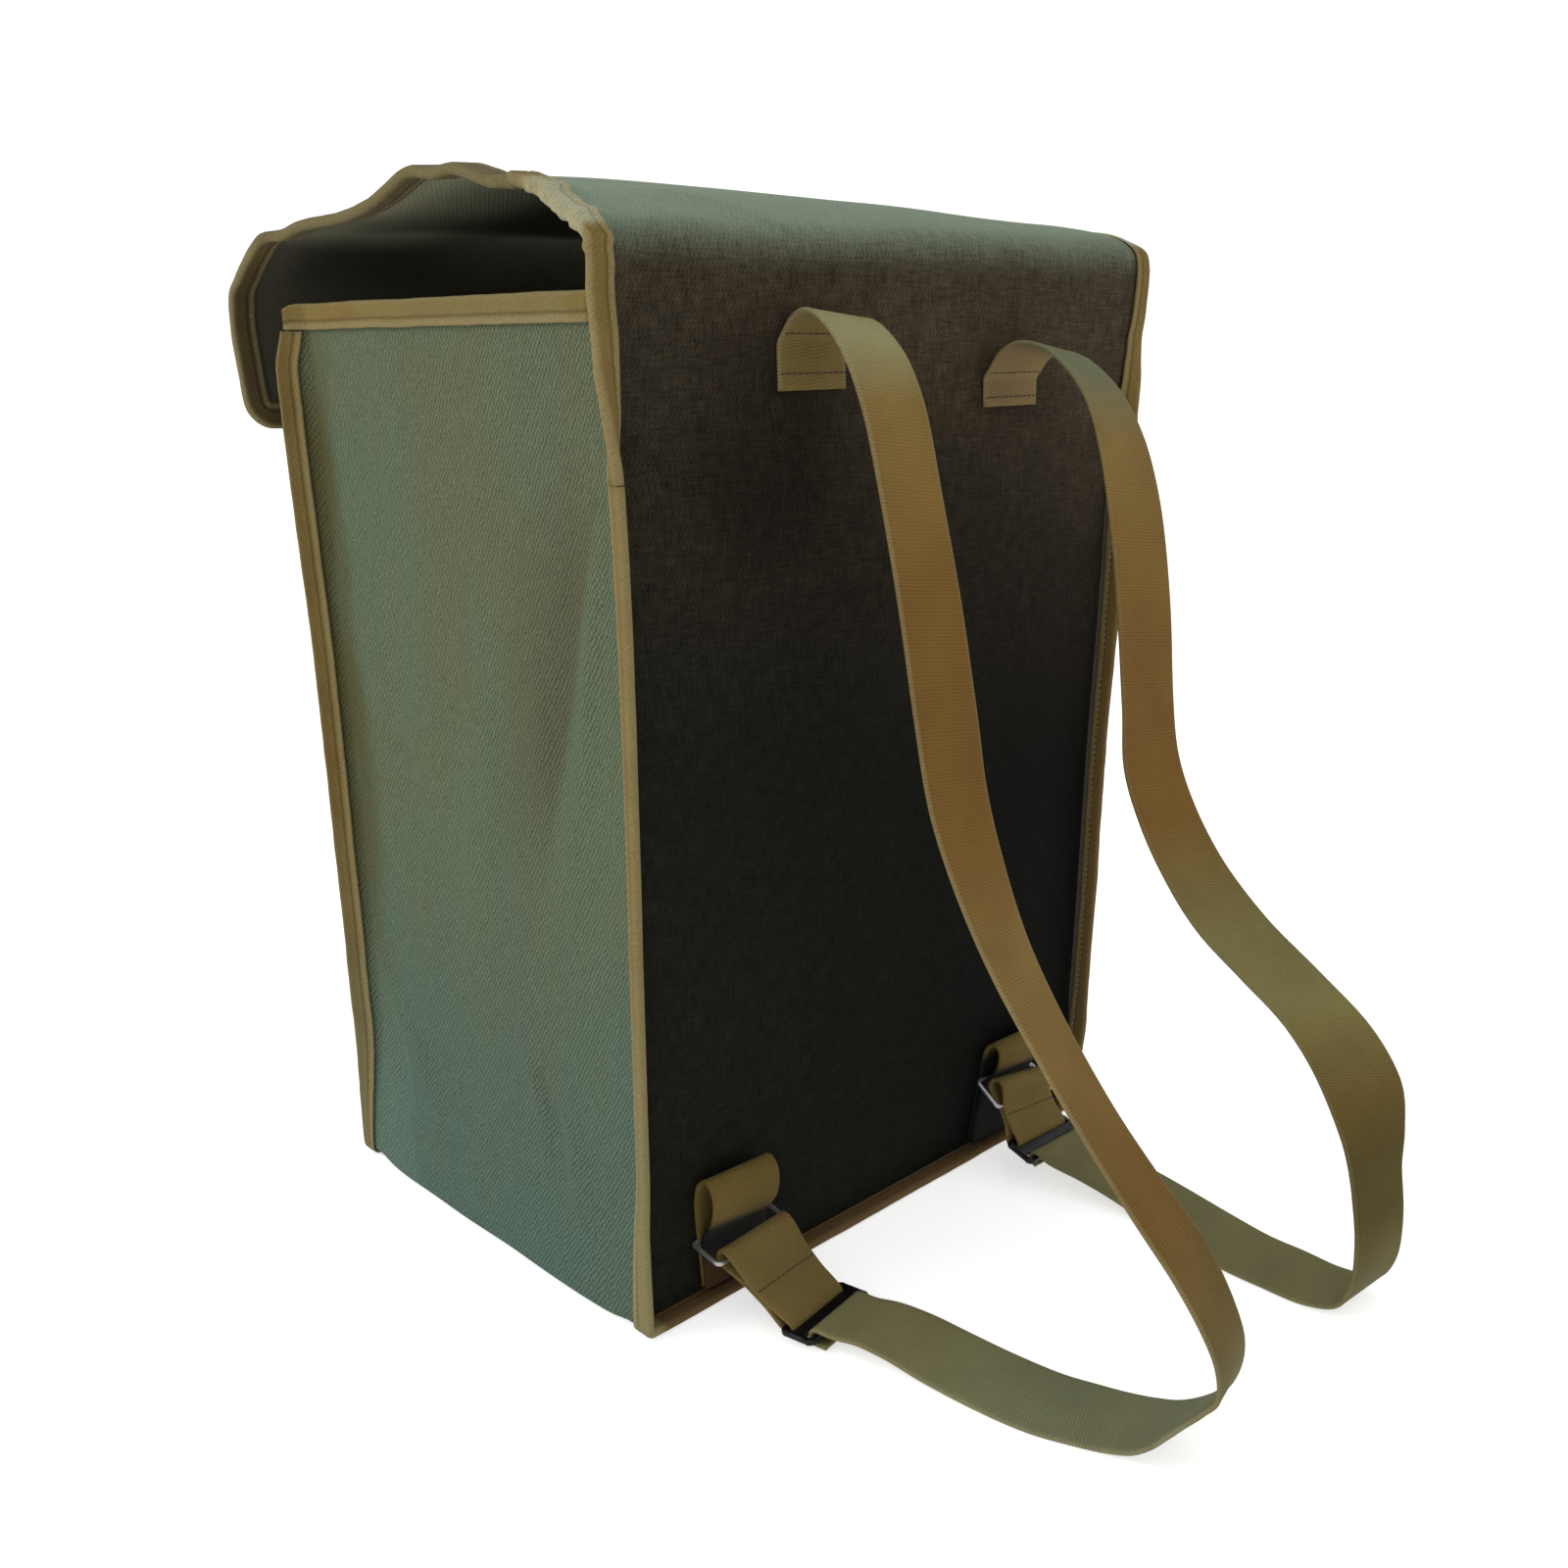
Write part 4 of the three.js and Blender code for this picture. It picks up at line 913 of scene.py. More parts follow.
def tape_tint(finish, rubbed_and_lit):
    """Khaki, stained, and changed by where the tape lies: at the base (browner, partly painted shade),
    low on the sides, on the left (painted shade), at the hem, on the flap's edge, round the mouth and at
    the gathers (painted highlights)."""
    place = finish.place()
    width, depth, height = place.parts()
    stain = finish.cloud(place, 0.022, 3.0).step(0.3, 0.75)
    tint = finish.colour(TAPE_KHAKI).mixed(TAPE_STAIN, stain * 0.8)
    side = width.size().step(0.150, 0.157)
    # Painted shade: the bottom tape is browner and darker, partly its own colour, partly shade under the
    # bag
    base = (1 - height.step(0.008, 0.030)) * (1 - side)
    tint = tint.mixed(TAPE_BASE_SHADE, base * 0.9)
    tint = tint.mixed(TAPE_FOOT, (1 - height.step(0.03, 0.22)) * side * 0.5)
    # Painted shade: the tape on the left side, away from the light, is darker
    left = (1 - width.step(-0.150, -0.120)) * (1 - height.step(0.36, 0.40))
    tint = tint.mixed(TAPE_LEFT_SHADE, left * 0.85)
    tint = tint.mixed(TAPE_HEM, (1 - depth.step(-0.155, -0.125)) * 0.75)
    flap_edge = height.step(0.458, 0.468) * (1 - depth.step(0.070, 0.085))
    tint = tint.mixed(TAPE_FLAP, flap_edge * 0.9)
    tint = tint.scaled(1 - (1 - depth.step(-0.120, -0.108)) * 0.3)
    mouth = height.step(0.420, 0.428) * (1 - height.step(0.446, 0.452)) * (1 - depth.step(0.090, 0.100))
    tint = tint.mixed(TAPE_MOUTH, mouth * depth.step(-0.115, 0.05) * 0.6)
    # Painted highlights: pale where the flap's tape puckers over the fold
    gathers = height.step(0.455, 0.464) * depth.step(0.078, 0.092) * (1 - depth.step(0.114, 0.118))
    tint = tint.mixed(TAPE_GATHER_HIGHLIGHT, gathers * 0.9)
    spared = (1 - base * 0.85) * (1 - left * 0.6) * (1 - flap_edge * 0.6)
    return tint.mixed(TAPE_WORN_LIT, rubbed_and_lit * spared)


def binding_tape():
    """Tape worn pale along its fold and edges, partly as a painted highlight, with a pressed stitch line
    darkened as painted shade.
    """
    finish = Finish("khaki binding tape", Sheen_Weight=0.02, Sheen_Roughness=0.5,
                    Specular_IOR_Level=0.06)
    cut = finish.cut()
    across = cut.part(0).size()
    fibre = finish.ribs(finish.turned(cut, TAPE_FIBRE_LEAN), TAPE_FIBRE_PITCH, 2.5, 3.0)
    fuzz = finish.cloud(cut, TAPE_FUZZ, 3.0, 0.7)
    weave = fibre * 0.12 + fuzz * 0.88
    # Pale along the fold and the edges: partly wear, partly a painted highlight where they catch the
    # light
    rubbed_and_lit = (1 - across.step(0.0012, 0.0036)) * 0.45 + across.step(0.0086, 0.0104) * 0.4
    # Painted shade: the pressed stitch groove is darkened
    groove = across.step(0.0074, 0.0082) * (1 - across.step(0.0084, 0.0092))
    tint = tape_tint(finish, rubbed_and_lit)
    finish.feed("Base Color", tint.scaled((weave * 0.9 + 0.55) * (1 - groove * 0.3)))
    finish.feed("Roughness", 0.95 - weave * 0.1)
    finish.relief(weave - groove * 0.5, 0.0006, 0.6)
    return finish.material


def ribbed_webbing(name, tints, slant=0.0, rubbed_and_lit=0.0):
    """Cotton webbing ribbed across: tints are its colours by length, some of them painted sheen and
    shade, slant leans where they change, and the last argument is how pale its edges are, partly wear
    and partly a painted highlight."""
    finish = Finish(name, Sheen_Weight=0.02, Sheen_Roughness=0.5, Specular_IOR_Level=0.08)
    cut = finish.cut()
    across, along = cut.part(0).size(), cut.part(1) + cut.part(0) * slant
    rib = finish.ribs(finish.turned(cut, RIB_LEAN), RIB_PITCH, 0.8, 5.0)
    warp = finish.ribs(cut, WARP_PITCH, 1.2, 5.0)
    fuzz = finish.cloud(cut, WEBBING_FUZZ, 3.0, 0.7)
    weave = rib * 0.24 + warp * 0.15 + fuzz * 0.61
    stain = finish.cloud(finish.place(), 0.035, 3.0)
    stops = [(length / STRAP_LENGTH, colour) for length, colour in tints]
    tint = finish.shade.make("ShaderNodeValToRGB", {"stops": stops}, {0: along * (1 / STRAP_LENGTH)})
    # Pale edges: partly wear, partly a painted highlight on the edge that faces the light
    tint = tint.mixed(WORN_LIT_EDGE, across.step(0.0170, 0.0186) * rubbed_and_lit)
    finish.feed("Base Color", tint.scaled((weave * 0.9 + 0.55) * (stain * 0.5 + 0.75)))
    finish.feed("Roughness", 0.92 - weave * 0.12)
    finish.relief(weave, 0.0007, 0.7)
    return finish.material


def strap_steel(name, shade, roughness, worn):
    """Blued steel with bright scratches, partly wear and partly painted glints."""
    finish = Finish(name, Metallic=0.8)
    place = finish.place()
    smear = finish.cloud(place, 0.008, 4.0)
    scratch = finish.cloud(finish.turned(place, 20, (1, 12, 12)), 0.006, 3.0).step(0.55, 0.75)
    finish.feed("Base Color", finish.colour((shade, shade, shade)).mixed(BARE_STEEL_GLINT, scratch * worn))
    finish.feed("Roughness", smear * 0.2 + roughness)
    finish.relief(smear + scratch * 0.4, 0.0002, 0.3)
    return finish.material


def sewing_thread(name, cotton):
    finish = Finish(name, Sheen_Weight=0.1, Specular_IOR_Level=0.3)
    place = finish.place()
    ply = finish.ribs(finish.turned(place, PLY_LEAN), PLY_PITCH, 1.0)
    worn = finish.cloud(place, 0.02, 2.0)
    raised = place.part(2).step(0.008, 0.035) * 0.6 + 0.4
    finish.feed("Base Color", finish.colour(cotton).scaled((ply * 0.3 + worn * 0.5 + 0.6) * raised))
    finish.feed("Roughness", 0.9 - ply * 0.1)
    return finish.material


SAGE = woven_canvas("sage canvas", sage_tint, 0.5, 0.85)
CHARCOAL = woven_canvas("charcoal canvas", back_tint, 0.15, 1.7)
INSIDE_SHADE_CANVAS = woven_canvas("canvas inside", inside_shade_tint, 0.2, 0.6)
BINDING = binding_tape()
# The greenish stops, pale, khaki, olive and the floor run's green, are painted sheen where a strap faces
# up
STRAPPING = {
    "right": ribbed_webbing("right strap webbing", [
        (0, GOLD), (0.027, GOLD), (0.046, PALE_SHEEN), (0.058, PALE_SHEEN), (0.086, TAN), (0.16, BROWN),
        (0.26, BROWN), (0.32, TAN), (0.42, BROWN), (0.475, SOILED), (0.525, FLOOR_RUN_SHEEN), (0.60, FLOOR_RUN_SHEEN),
        (0.66, OLIVE_SHEEN), (0.72, OLIVE_SHEEN),
    ], rubbed_and_lit=0.4),
    "left": ribbed_webbing("left strap webbing", [
        (0, ROSE), (0.03, ROSE), (0.05, SHADED), (0.068, SHADED), (0.105, TAN), (0.2, BROWN),
        # Dusk is painted shade near the far strap's lower turn
        (0.27, BROWN), (0.335, KHAKI_SHEEN), (0.37, KHAKI_SHEEN), (0.42, SOILED), (0.45, DUSK_SHADE), (0.48, DUSK_SHADE),
        (0.54, OLIVE_SHEEN), (0.72, OLIVE_SHEEN),
    ], rubbed_and_lit=0.2),
}
# The keepers' near-black and dark brown are painted shade under the roll, the ring and the end loop
KEEPER_WEB = {
    "right": ribbed_webbing("right keeper webbing", [
        (0, SOILED), (0.085, SOILED), (0.092, KEEPER_SHADE), (0.108, KEEPER_SHADE), (0.116, BROWN_SHADE), (0.72, BROWN_SHADE),
    ], slant=0.22),
    "left": ribbed_webbing("left keeper webbing", [
        (0, KEEPER_SHADE), (0.055, KEEPER_SHADE), (0.062, SOILED), (0.081, SOILED), (0.086, KEEPER_SHADE), (0.72, KEEPER_SHADE),
    ], slant=0.22),
}
END_LOOP_WEB = ribbed_webbing("end loop webbing", [(0, LOOP_TAN), (0.72, LOOP_BROWN)])
RING_STEEL = strap_steel("ring steel", 0.36, 0.20, 0.4)
SLIDER_STEEL = strap_steel("slider steel", 0.010, 0.26, 0.06)
TAN_THREAD = sewing_thread("tan thread", TAN_COTTON)
BROWN_THREAD = sewing_thread("brown thread", BROWN_COTTON)

# Camera at the photograph's place
eye = bpy.data.cameras.new("eye")
eye.lens = 37.573
eye.sensor_width = 36
eye.shift_y = 0.05625
camera = in_scene("eye", eye)
gaze = Euler((math.radians(90 - 18.725), 0, math.radians(136.589))).to_matrix().to_4x4()
camera.matrix_world = Matrix.Translation((0.54583, 0.61899, 0.43212)) @ gaze
bpy.context.scene.camera = camera

# The canvas
def gusset_cloth():
    stops = seam_stops(MOUTH_HEIGHT, CLOTH_STEP)
    runs = run_lengths([Vector((stop.x, 0, stop.z)) for stop in stops])

    def lip_point(stop, lip, side):
        freed = 0
        if side > 0:
            freed = GUSSET_FREED_LIP * smoothstep(stop.z, TAPE_JOINT_HEIGHT, GUSSET_FREED_FULL_AT)
        return seam_point(stop, seam_edge(stop, side).lerp(SEAM_BEND, lerp(freed, 1, lip)), side)

    def face_point(stop, share):
        y = lerp(-HALF_DEPTH - SEAM_BEND.y, HALF_DEPTH + back_bow(stop.z) + SEAM_BEND.y, share)
        hang = math.sin(math.pi * clamp(stop.z / FRONT_SEAM_TOP)) * (1 - stop.base)
        free = 1 - (2 * share - 1) ** 2
        out = SEAM_BEND.x - SIDE_DISH * hang * free
        on_side = stop.nz > -0.5
        if on_side:
            loose = smoothstep(free, *SIDE_FREE) * smoothstep(MOUTH_HEIGHT - stop.z, *SIDE_FREE_TOP)
            out += loose * (creased(SIDE_CREASES, y, stop.z) + rumple(stop.x, y, stop.z, *SIDE_RUMPLE))
        spill = BASE_BULGE * smoothstep(free, *BASE_BULGE_FREE) * flare_share(stop.z)
        settle = BASE_LIFT * stop.base * smoothstep(free, *BASE_SETTLE_FREE)
        return Vector((stop.x + (out + spill) * stop.nx, y, stop.z + out * stop.nz - settle))

    def place(row, column):
        stop = stops[row]
        lip = min(column, 2 * LIP_COLUMNS + SIDE_COLUMNS - column) / LIP_COLUMNS
        if lip < 1:
            point = lip_point(stop, lip, 1 if column > LIP_COLUMNS else -1)
        else:
            point = face_point(stop, (column - LIP_COLUMNS) / SIDE_COLUMNS)
        sloped = smoothstep(stop.z, MOUTH_SLOPE_FROM, MOUTH_HEIGHT)
        point.z -= (MOUTH_HEIGHT - mouth_height(point.y)) * sloped
        return settled(point), (point.y * MM, runs[row] * MM)

    bm = cut_panel(len(stops) - 1, 2 * LIP_COLUMNS + SIDE_COLUMNS, place)
    bmesh.ops.reverse_faces(bm, faces=bm.faces)
    piece = thicken(piece_from(bm, "gusset_cloth", SAGE), CANVAS, INSIDE_SHADE_CANVAS)
    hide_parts("gusset")
    return piece


def panel_half(z):
    """Half of the width of the front and back panels at a height."""
    if z >= CORNER_TOP:
        return half_width(z) + lerp(PANEL_EDGE_SIDE, PANEL_EDGE_BASE, flare_share(z))
    radius = CORNER_RADIUS + PANEL_EDGE_BASE
    return CORNER_REACH + math.sqrt(max(0, radius ** 2 - (CORNER_TOP - z) ** 2))


def column_share(column):
    """From 1 at the right edge to -1 at the left, closer together at the edges."""
    even = 1 - 2 * column / PANEL_COLUMNS
    return lerp(even, math.sin(math.pi / 2 * even), PANEL_CROWDING)


def front_cloth():
    heights = PANEL_LOW_ROWS + spread(CORNER_TOP, MOUTH_FRONT, FRONT_ROWS)[1:]

    def place(row, column):
        z = heights[row]
        share = column_share(column)
        neck = smoothstep(z, FRONT_SEAM_TOP - FRONT_NECK, FRONT_SEAM_TOP)
        x = -share * (panel_half(z) + PANEL_EDGE_MOUTH * neck)
        rise = math.sin(math.pi * clamp(z / FRONT_SEAM_TOP))
        loose = smoothstep(1 - abs(share), *FRONT_FREE) * rise
        bulge = FRONT_BULGE * rise * (1 - share ** 2)
        bulge += loose * rumple(-x, -PANEL_RUMPLE_AT, z, *PANEL_RUMPLE)
        return settled((x, CANVAS / 2 - HALF_DEPTH - bulge, z)), (x * MM, z * MM)

    bm = cut_panel(len(heights) - 1, PANEL_COLUMNS, place)
    piece = thicken(piece_from(bm, "front_cloth", SAGE), CANVAS, INSIDE_SHADE_CANVAS)
    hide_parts("front_panel")
    return piece


def freed_edge(z):
    """The back's edge and where it bends, between the mouth and the fold."""
    swing = along_table(FREED_ROWS, z, "swing")
    fold_tip = Vector((FLAP_HALF_WIDTH_BACK - half_width(z), FLAP_BENDS[0].y - HALF_DEPTH))
    tip = BACK_SEAM_EDGE.lerp(fold_tip, swing)
    seam = BACK_SEAM_EDGE - SEAM_BEND
    angle = lerp(math.atan2(seam.y, seam.x), 0, swing)
    return tip, tip - FREED_STRIP * Vector((math.cos(angle), math.sin(angle)))


def back_point(share, z):
    x = share * panel_half(z)
    joint = smoothstep(z, TAPE_JOINT_HEIGHT - JOINT_TUCK_LENGTH, TAPE_JOINT_HEIGHT)
    tuck = JOINT_TUCK * joint * smoothstep(abs(share), JOINT_TUCK_FROM, 1)
    return Vector((x, back_face(x, z) - CANVAS / 2 - tuck, z))


def freed_point(share, z):
    tip, bend = freed_edge(z)
    edge = bend.lerp(tip, smoothstep(z, TAPE_JOINT_HEIGHT, MOUTH_HEIGHT))
    x = share * (half_width(z) + edge.x)
    bend_x, face = half_width(z) + bend.x, HALF_DEPTH + back_bow(z)
    if abs(x) > bend_x:
        y = lerp(face + bend.y, face + edge.y, (abs(x) - bend_x) / (edge.x - bend.x))
    else:
        eased = smoothstep(abs(x) / bend_x, FREED_EASE_FROM, 1)
        y = lerp(back_face(x, z) - CANVAS / 2, face + bend.y, eased)
    return Vector((x, y, z))


def flap_cloth_point(share, bend):
    corner = (1 - bend) * HEM_LENGTH / (1 - HEM_BEND)
    cut_back = 0.0
    if corner < FLAP_CORNER_RADIUS:
        below = FLAP_CORNER_RADIUS - corner
        cut_back = FLAP_CORNER_RADIUS - math.sqrt(FLAP_CORNER_RADIUS ** 2 - below ** 2)
    half = flap_half_width(bend) - cut_back
    x = share * half
    sag = FLAP_EDGE_DROOP[1 if x > 0 else -1] * flap_section(bend)[1].z
    droop = sag * smoothstep(abs(x), half - FLAP_EDGE_STRIP, half)
    run = flap_run(bend)
    loose = smoothstep(1 - abs(share), *BACK_FREE)
    loose *= smoothstep(run, *FLAP_FREE_FOLD) * smoothstep(1 - bend, *FLAP_FREE_HEM)
    lift = loose * (creased(FLAP_CREASES, x, run) + rumple(x, run, FLAP_RUMPLE_AT, *FLAP_RUMPLE))
    return flap_point(x, bend) + flap_inward(x, bend) * (droop - lift)


def back_flap_cloth():
    heights = PANEL_LOW_ROWS + spread(CORNER_TOP, TAPE_JOINT_HEIGHT, BACK_ROWS)[1:-1]
    rows = [(back_point, z) for z in heights]
    rows += [(freed_point, z) for z in spread(TAPE_JOINT_HEIGHT, FOLD_HEIGHT, FREED_STEPS)[:-1]]
    rows += [(flap_cloth_point, bend) for bend in spread(0, 1, FLAP_STEPS)]
    runs = run_lengths([point(0, at) for point, at in rows])

    def place(row, column):
        point, at = rows[row]
        share = column_share(column)
        laid = point(share, at)
        if point is not flap_cloth_point:
            loose = smoothstep(1 - abs(share), *BACK_FREE)
            loose *= smoothstep(at, *BACK_FREE_FOOT) * smoothstep(FOLD_HEIGHT - at, *BACK_FREE_FOLD)
            uneven = rumple(laid.x, PANEL_RUMPLE_AT, at, *PANEL_RUMPLE)
            laid.y += loose * (creased(BACK_CREASES, laid.x, at) + uneven)
        return settled(laid), (laid.x * MM, runs[row] * MM)

    bm = cut_panel(len(rows) - 1, PANEL_COLUMNS, place)
    piece = thicken(piece_from(bm, "back_flap_cloth", CHARCOAL), CANVAS, INSIDE_SHADE_CANVAS)
    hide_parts("back_flap_panel")
    return piece


# Binding tape: a stop's tip is on the edge that it covers, out leads away from the cloth, depth is
# how far its legs reach back, and flat, where it is given, is the way out of one leg's face
TapeStop = namedtuple("TapeStop", "tip out depth flat", defaults=[None])


def tape_section(depth):
    """Along the way out and off to each side, from one edge of the tape over the fold to the other."""
    leg = []
    for along in spread(-depth, 0, LEG_STEPS):
        pressed = math.exp(-((along + depth - STITCH_IN) / STITCH_GROOVE_WIDTH) ** 2)
        leg.append((along, TAPE_HALF - STITCH_GROOVE * pressed))
    angles = spread(math.pi / 2, -math.pi / 2, NOSE_STEPS)[1:-1]
    nose = [(TAPE_NOSE * math.cos(angle), TAPE_HALF * math.sin(angle)) for angle in angles]
    return leg + nose + [(along, -off) for along, off in leg[::-1]]


def tape_frames(stops):
    frames = []
    for i, stop in enumerate(stops):
        along = stops[min(i + 1, len(stops) - 1)].tip - stops[max(i - 1, 0)].tip
        side = stop.flat or stop.out.cross(along).normalized()
        frames.append((stop, side, along.normalized()))
    return frames


def folded_tape(node, stops, gather=None):
    """Tape folded over an edge, with a row of stitches through both legs. gather moves a stop's tip."""
    stops = [stop._replace(tip=settled(stop.tip)) for stop in stops]
    frames = tape_frames(stops)
    runs = run_lengths([stop.tip for stop in stops])
    width = run_lengths([Vector(at) for at in tape_section(stops[0].depth)])[-1]

    def place(row, column):
        stop, side, _ = frames[row]
        section = tape_section(stop.depth)
        along, off = section[column]
        on_leg = stop.tip + side * off * TAPE_LEGS_APART
        bulge = rumple(*on_leg, *TAPE_RUMPLE) + rumple(*stop.tip, *TAPE_WANDER)
        shift = gather(stop, runs[row], off) if gather else 0.0
        point = stop.tip + stop.out * (along + bulge + shift)
        point += side * (off + math.copysign(shift * GATHER_SWELL, off))
        return point, ((column / (len(section) - 1) - 0.5) * TAPE_CUT, runs[row] * MM)

    bm = cut_panel(len(stops) - 1, len(tape_section(stops[0].depth)) - 1, place)
    tape = thicken(piece_from(bm, node.replace("binding", "tape"), BINDING), TAPE)
    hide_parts(node)
    marks = [mark for off in (1, -1) for mark in leg_marks(frames, runs, off)]
    stitches = stitch_piece(tape.name + "_stitches", marks, TAN_THREAD, STITCH_LENGTH, THREAD)
    return tape


def row_at(runs, at):
    """The last row that starts before a length, and the share of the way to the next."""
    row = max(k for k, run in enumerate(runs[:-1]) if run <= at)
    return row, (at - runs[row]) / max(runs[row + 1] - runs[row], 1e-6)


def leg_marks(frames, runs, off):
    """Where the stitches lie on one leg of a tape: middle, way along and way up."""
    lift = TAPE_HALF + TAPE / 2 - STITCH_GROOVE
    marks = []
    for i in range(1, int(runs[-1] / STITCH_PITCH)):
        row, share = row_at(runs, i * STITCH_PITCH)
        points = [stop.tip + stop.out * (STITCH_IN - stop.depth) + side * off * lift
                  for stop, side, _ in frames[row:row + 2]]
        _, side, along = frames[row]
        marks.append((points[0].lerp(points[1], share), along, side * off))
    return marks


def stitch_piece(name, marks, material, length, thread):
    bm = bmesh.new()
    for middle, along, up in marks:
        across = up.cross(along).normalized()
        axes = Matrix((along * length, across * thread, across.cross(along) * -thread))
        shape = Matrix.Scale(MM, 4) @ Matrix.Translation(middle) @ axes.transposed().to_4x4()
        bmesh.ops.create_icosphere(bm, subdivisions=1, radius=0.5, matrix=shape)
    bmesh.ops.recalc_face_normals(bm, faces=bm.faces)
    return piece_from(bm, name, material)


def seam_stop(stop, side):
    tip = seam_point(stop, seam_edge(stop, side), side)
    out = (tip - seam_point(stop, SEAM_BEND, side)).normalized()
    back_depth = lerp(BACK_TAPE_DEPTH_LOW, BACK_TAPE_DEPTH, back_seam_share(stop.z))
    depth = back_depth if side > 0 else FRONT_TAPE_DEPTH
    return TapeStop(tip, out, lerp(depth, BASE_TAPE_DEPTH, math.sqrt(stop.base)))


def flap_side_stops(sign):
    """Stops from the tape's joint up one side of the back, along the flap and round its corner."""
    stops = []
    for z in spread(TAPE_JOINT_HEIGHT, FOLD_HEIGHT, FREED_STEPS)[:-1]:
        tip, bend = [seam_point(side_stop(sign, z), edge, 1) for edge in freed_edge(z)]
        freed = smoothstep(z, TAPE_JOINT_HEIGHT, FREED_DEPTH_FULL_AT)
        depth = lerp(JOINT_TAPE_DEPTH, FREED_TAPE_DEPTH, freed)
        stops.append(TapeStop(tip, (tip - bend).normalized(), depth))
    bends = [(bend, 0.0) for bend in spread(0, corner_bend(0), FLAP_TAPE_STEPS)[:-1]]
    bends += [(corner_bend(turn), turn) for turn in spread(0, math.pi / 2, FLAP_TURN_STEPS)]
    for bend, turn in bends:
        depth = lerp(FREED_TAPE_DEPTH, FLAP_TAPE_DEPTH, min(1, bend / FLAP_TAPE_FULL_AT))
        stops.append(TapeStop(*flap_edge(sign, bend, turn), depth))
    return stops


def flap_tape_stops():
    reach = FLAP_HALF_WIDTH_FRONT - FLAP_CORNER_RADIUS
    places = spread(reach, -reach, HEM_STEPS)[1:-1]
    hem = [TapeStop(flap_point(x, 1), HEM_DOWN, FLAP_TAPE_DEPTH) for x in places]
    return flap_side_stops(1) + hem + flap_side_stops(-1)[::-1]


def flap_gather(stop, run, off):
    """The tape puckers where it turns over the fold, and wavers a little elsewhere."""
    x, y, z = stop.tip
    pucker = smoothstep(y, *PUCKER_OUT) * smoothstep(z, *PUCKER_UP) * smoothstep(x, *PUCKER_RIGHT)
    lump = PUCKER_SWELL * math.sin(run * PUCKER_PACE) + rumple(run, off, 0, *PUCKER_RUMPLE)
    return pucker * lump + WAVER_SWELL * math.sin(run * WAVER_PACE)


def mouth_stop(x, y, flat, drop=0.0):
    tip = Vector((x, y, mouth_height(y) - drop))
    return TapeStop(tip, Vector((0, 0, 1)), MOUTH_TAPE_DEPTH - drop, flat)


def side_mouth_stops(sign):
    stop = side_stop(sign, MOUTH_HEIGHT)
    bend = seam_point(stop, SEAM_BEND, -1)
    tip = seam_point(stop, front_seam_edge(MOUTH_HEIGHT), -1)
    seam = (tip - bend).normalized()
    seam_flat = Vector((-seam.y, seam.x, 0)) * sign
    side_flat = Vector((sign, 0, 0))
    start = HALF_DEPTH + SEAM_BEND.y - TAPE_JOINT_GAP
    places = spread(start, bend.y + SIDE_MOUTH_TURN_AT, SIDE_MOUTH_STEPS)
    stops = [mouth_stop(bend.x, y, side_flat) for y in places]
    for share, turn, drop in MOUTH_TURNS:
        point = bend.lerp(tip, share)
        flat = side_flat.lerp(seam_flat, turn).normalized()
        stops.append(mouth_stop(point.x, point.y, flat, drop))
    return stops


def front_mouth_stops():
    half = half_width(MOUTH_HEIGHT) - FRONT_TAPE_END
    places = spread(half, -half, MOUTH_STEPS)
    return [mouth_stop(x, CANVAS / 2 - HALF_DEPTH, Vector((0, -1, 0))) for x in places]


# Webbing
def webbing_section(width):
    """Across and up, round a strip of webbing with firm edges."""
    half, rise = width / 2, WEBBING / 2
    top = []
    for x in spread(-half + WEBBING_ROUND, half - WEBBING_ROUND, WEBBING_COLUMNS):
        firm = smoothstep(abs(x), half - SELVAGE_FROM, half - SELVAGE_FULL_AT)
        top.append((x, rise * (WEBBING_MIDDLE + SELVAGE_SWELL * firm)))
    inner, up = half - WEBBING_EDGE_IN, rise * WEBBING_EDGE_UP
    edge = [(inner, up), (half, 0.0), (inner, -up)]
    ring = top + edge + [(x, -up) for x, up in top[::-1]] + [(-x, -up) for x, up in edge]
    return ring + ring[:1]


def webbing_strip(name, node, stops, width, material, closed=False):
    """A strip along stops that give its middle and the way across it."""
    if closed:
        stops = stops + stops[:1]
    section = webbing_section(width)
    runs = run_lengths([middle for middle, _ in stops])
    last = len(stops) - 1
    ups = []
    for i, (_, across) in enumerate(stops):
        before, after = max(i - 1, 0), min(i + 1, last)
        if closed and i in (0, last):
            before, after = last - 1, 1
        ups.append(across.cross(stops[after][0] - stops[before][0]).normalized())

    def place(row, column):
        middle, across = stops[row]
        x, up = section[column]
        return middle + across * x + ups[row] * up, (x * MM, runs[row] * MM)

    bm = cut_panel(len(stops) - 1, len(section) - 1, place)
    bmesh.ops.remove_doubles(bm, verts=bm.verts, dist=1e-6)
    bmesh.ops.holes_fill(bm, edges=[edge for edge in bm.edges if edge.is_boundary])
    bmesh.ops.recalc_face_normals(bm, faces=bm.faces)
    piece = piece_from(bm, name, material)
    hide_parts(node)
    return runs, ups


def cross_stitches(name, stops, runs, ups, rows, width, sides):
    """Rows of stitches across a strip, at lengths along it."""
    reach = width / 2 - STRAP_STITCH_IN
    marks = []
    for at in rows:
        i, share = row_at(runs, at)
        middle = stops[i][0].lerp(stops[(i + 1) % len(stops)][0], share)
        across = stops[i][1]
        for side in sides:
            seat = ups[i] * side * WEBBING * STRAP_STITCH_SEAT
            for x in spread(-reach, reach, round(2 * reach / STITCH_PITCH)):
                marks.append((middle + across * x + seat, across, ups[i] * side))
    stitches = stitch_piece(name, marks, BROWN_THREAD, STRAP_STITCH_LENGTH, STRAP_THREAD)
    return stitches


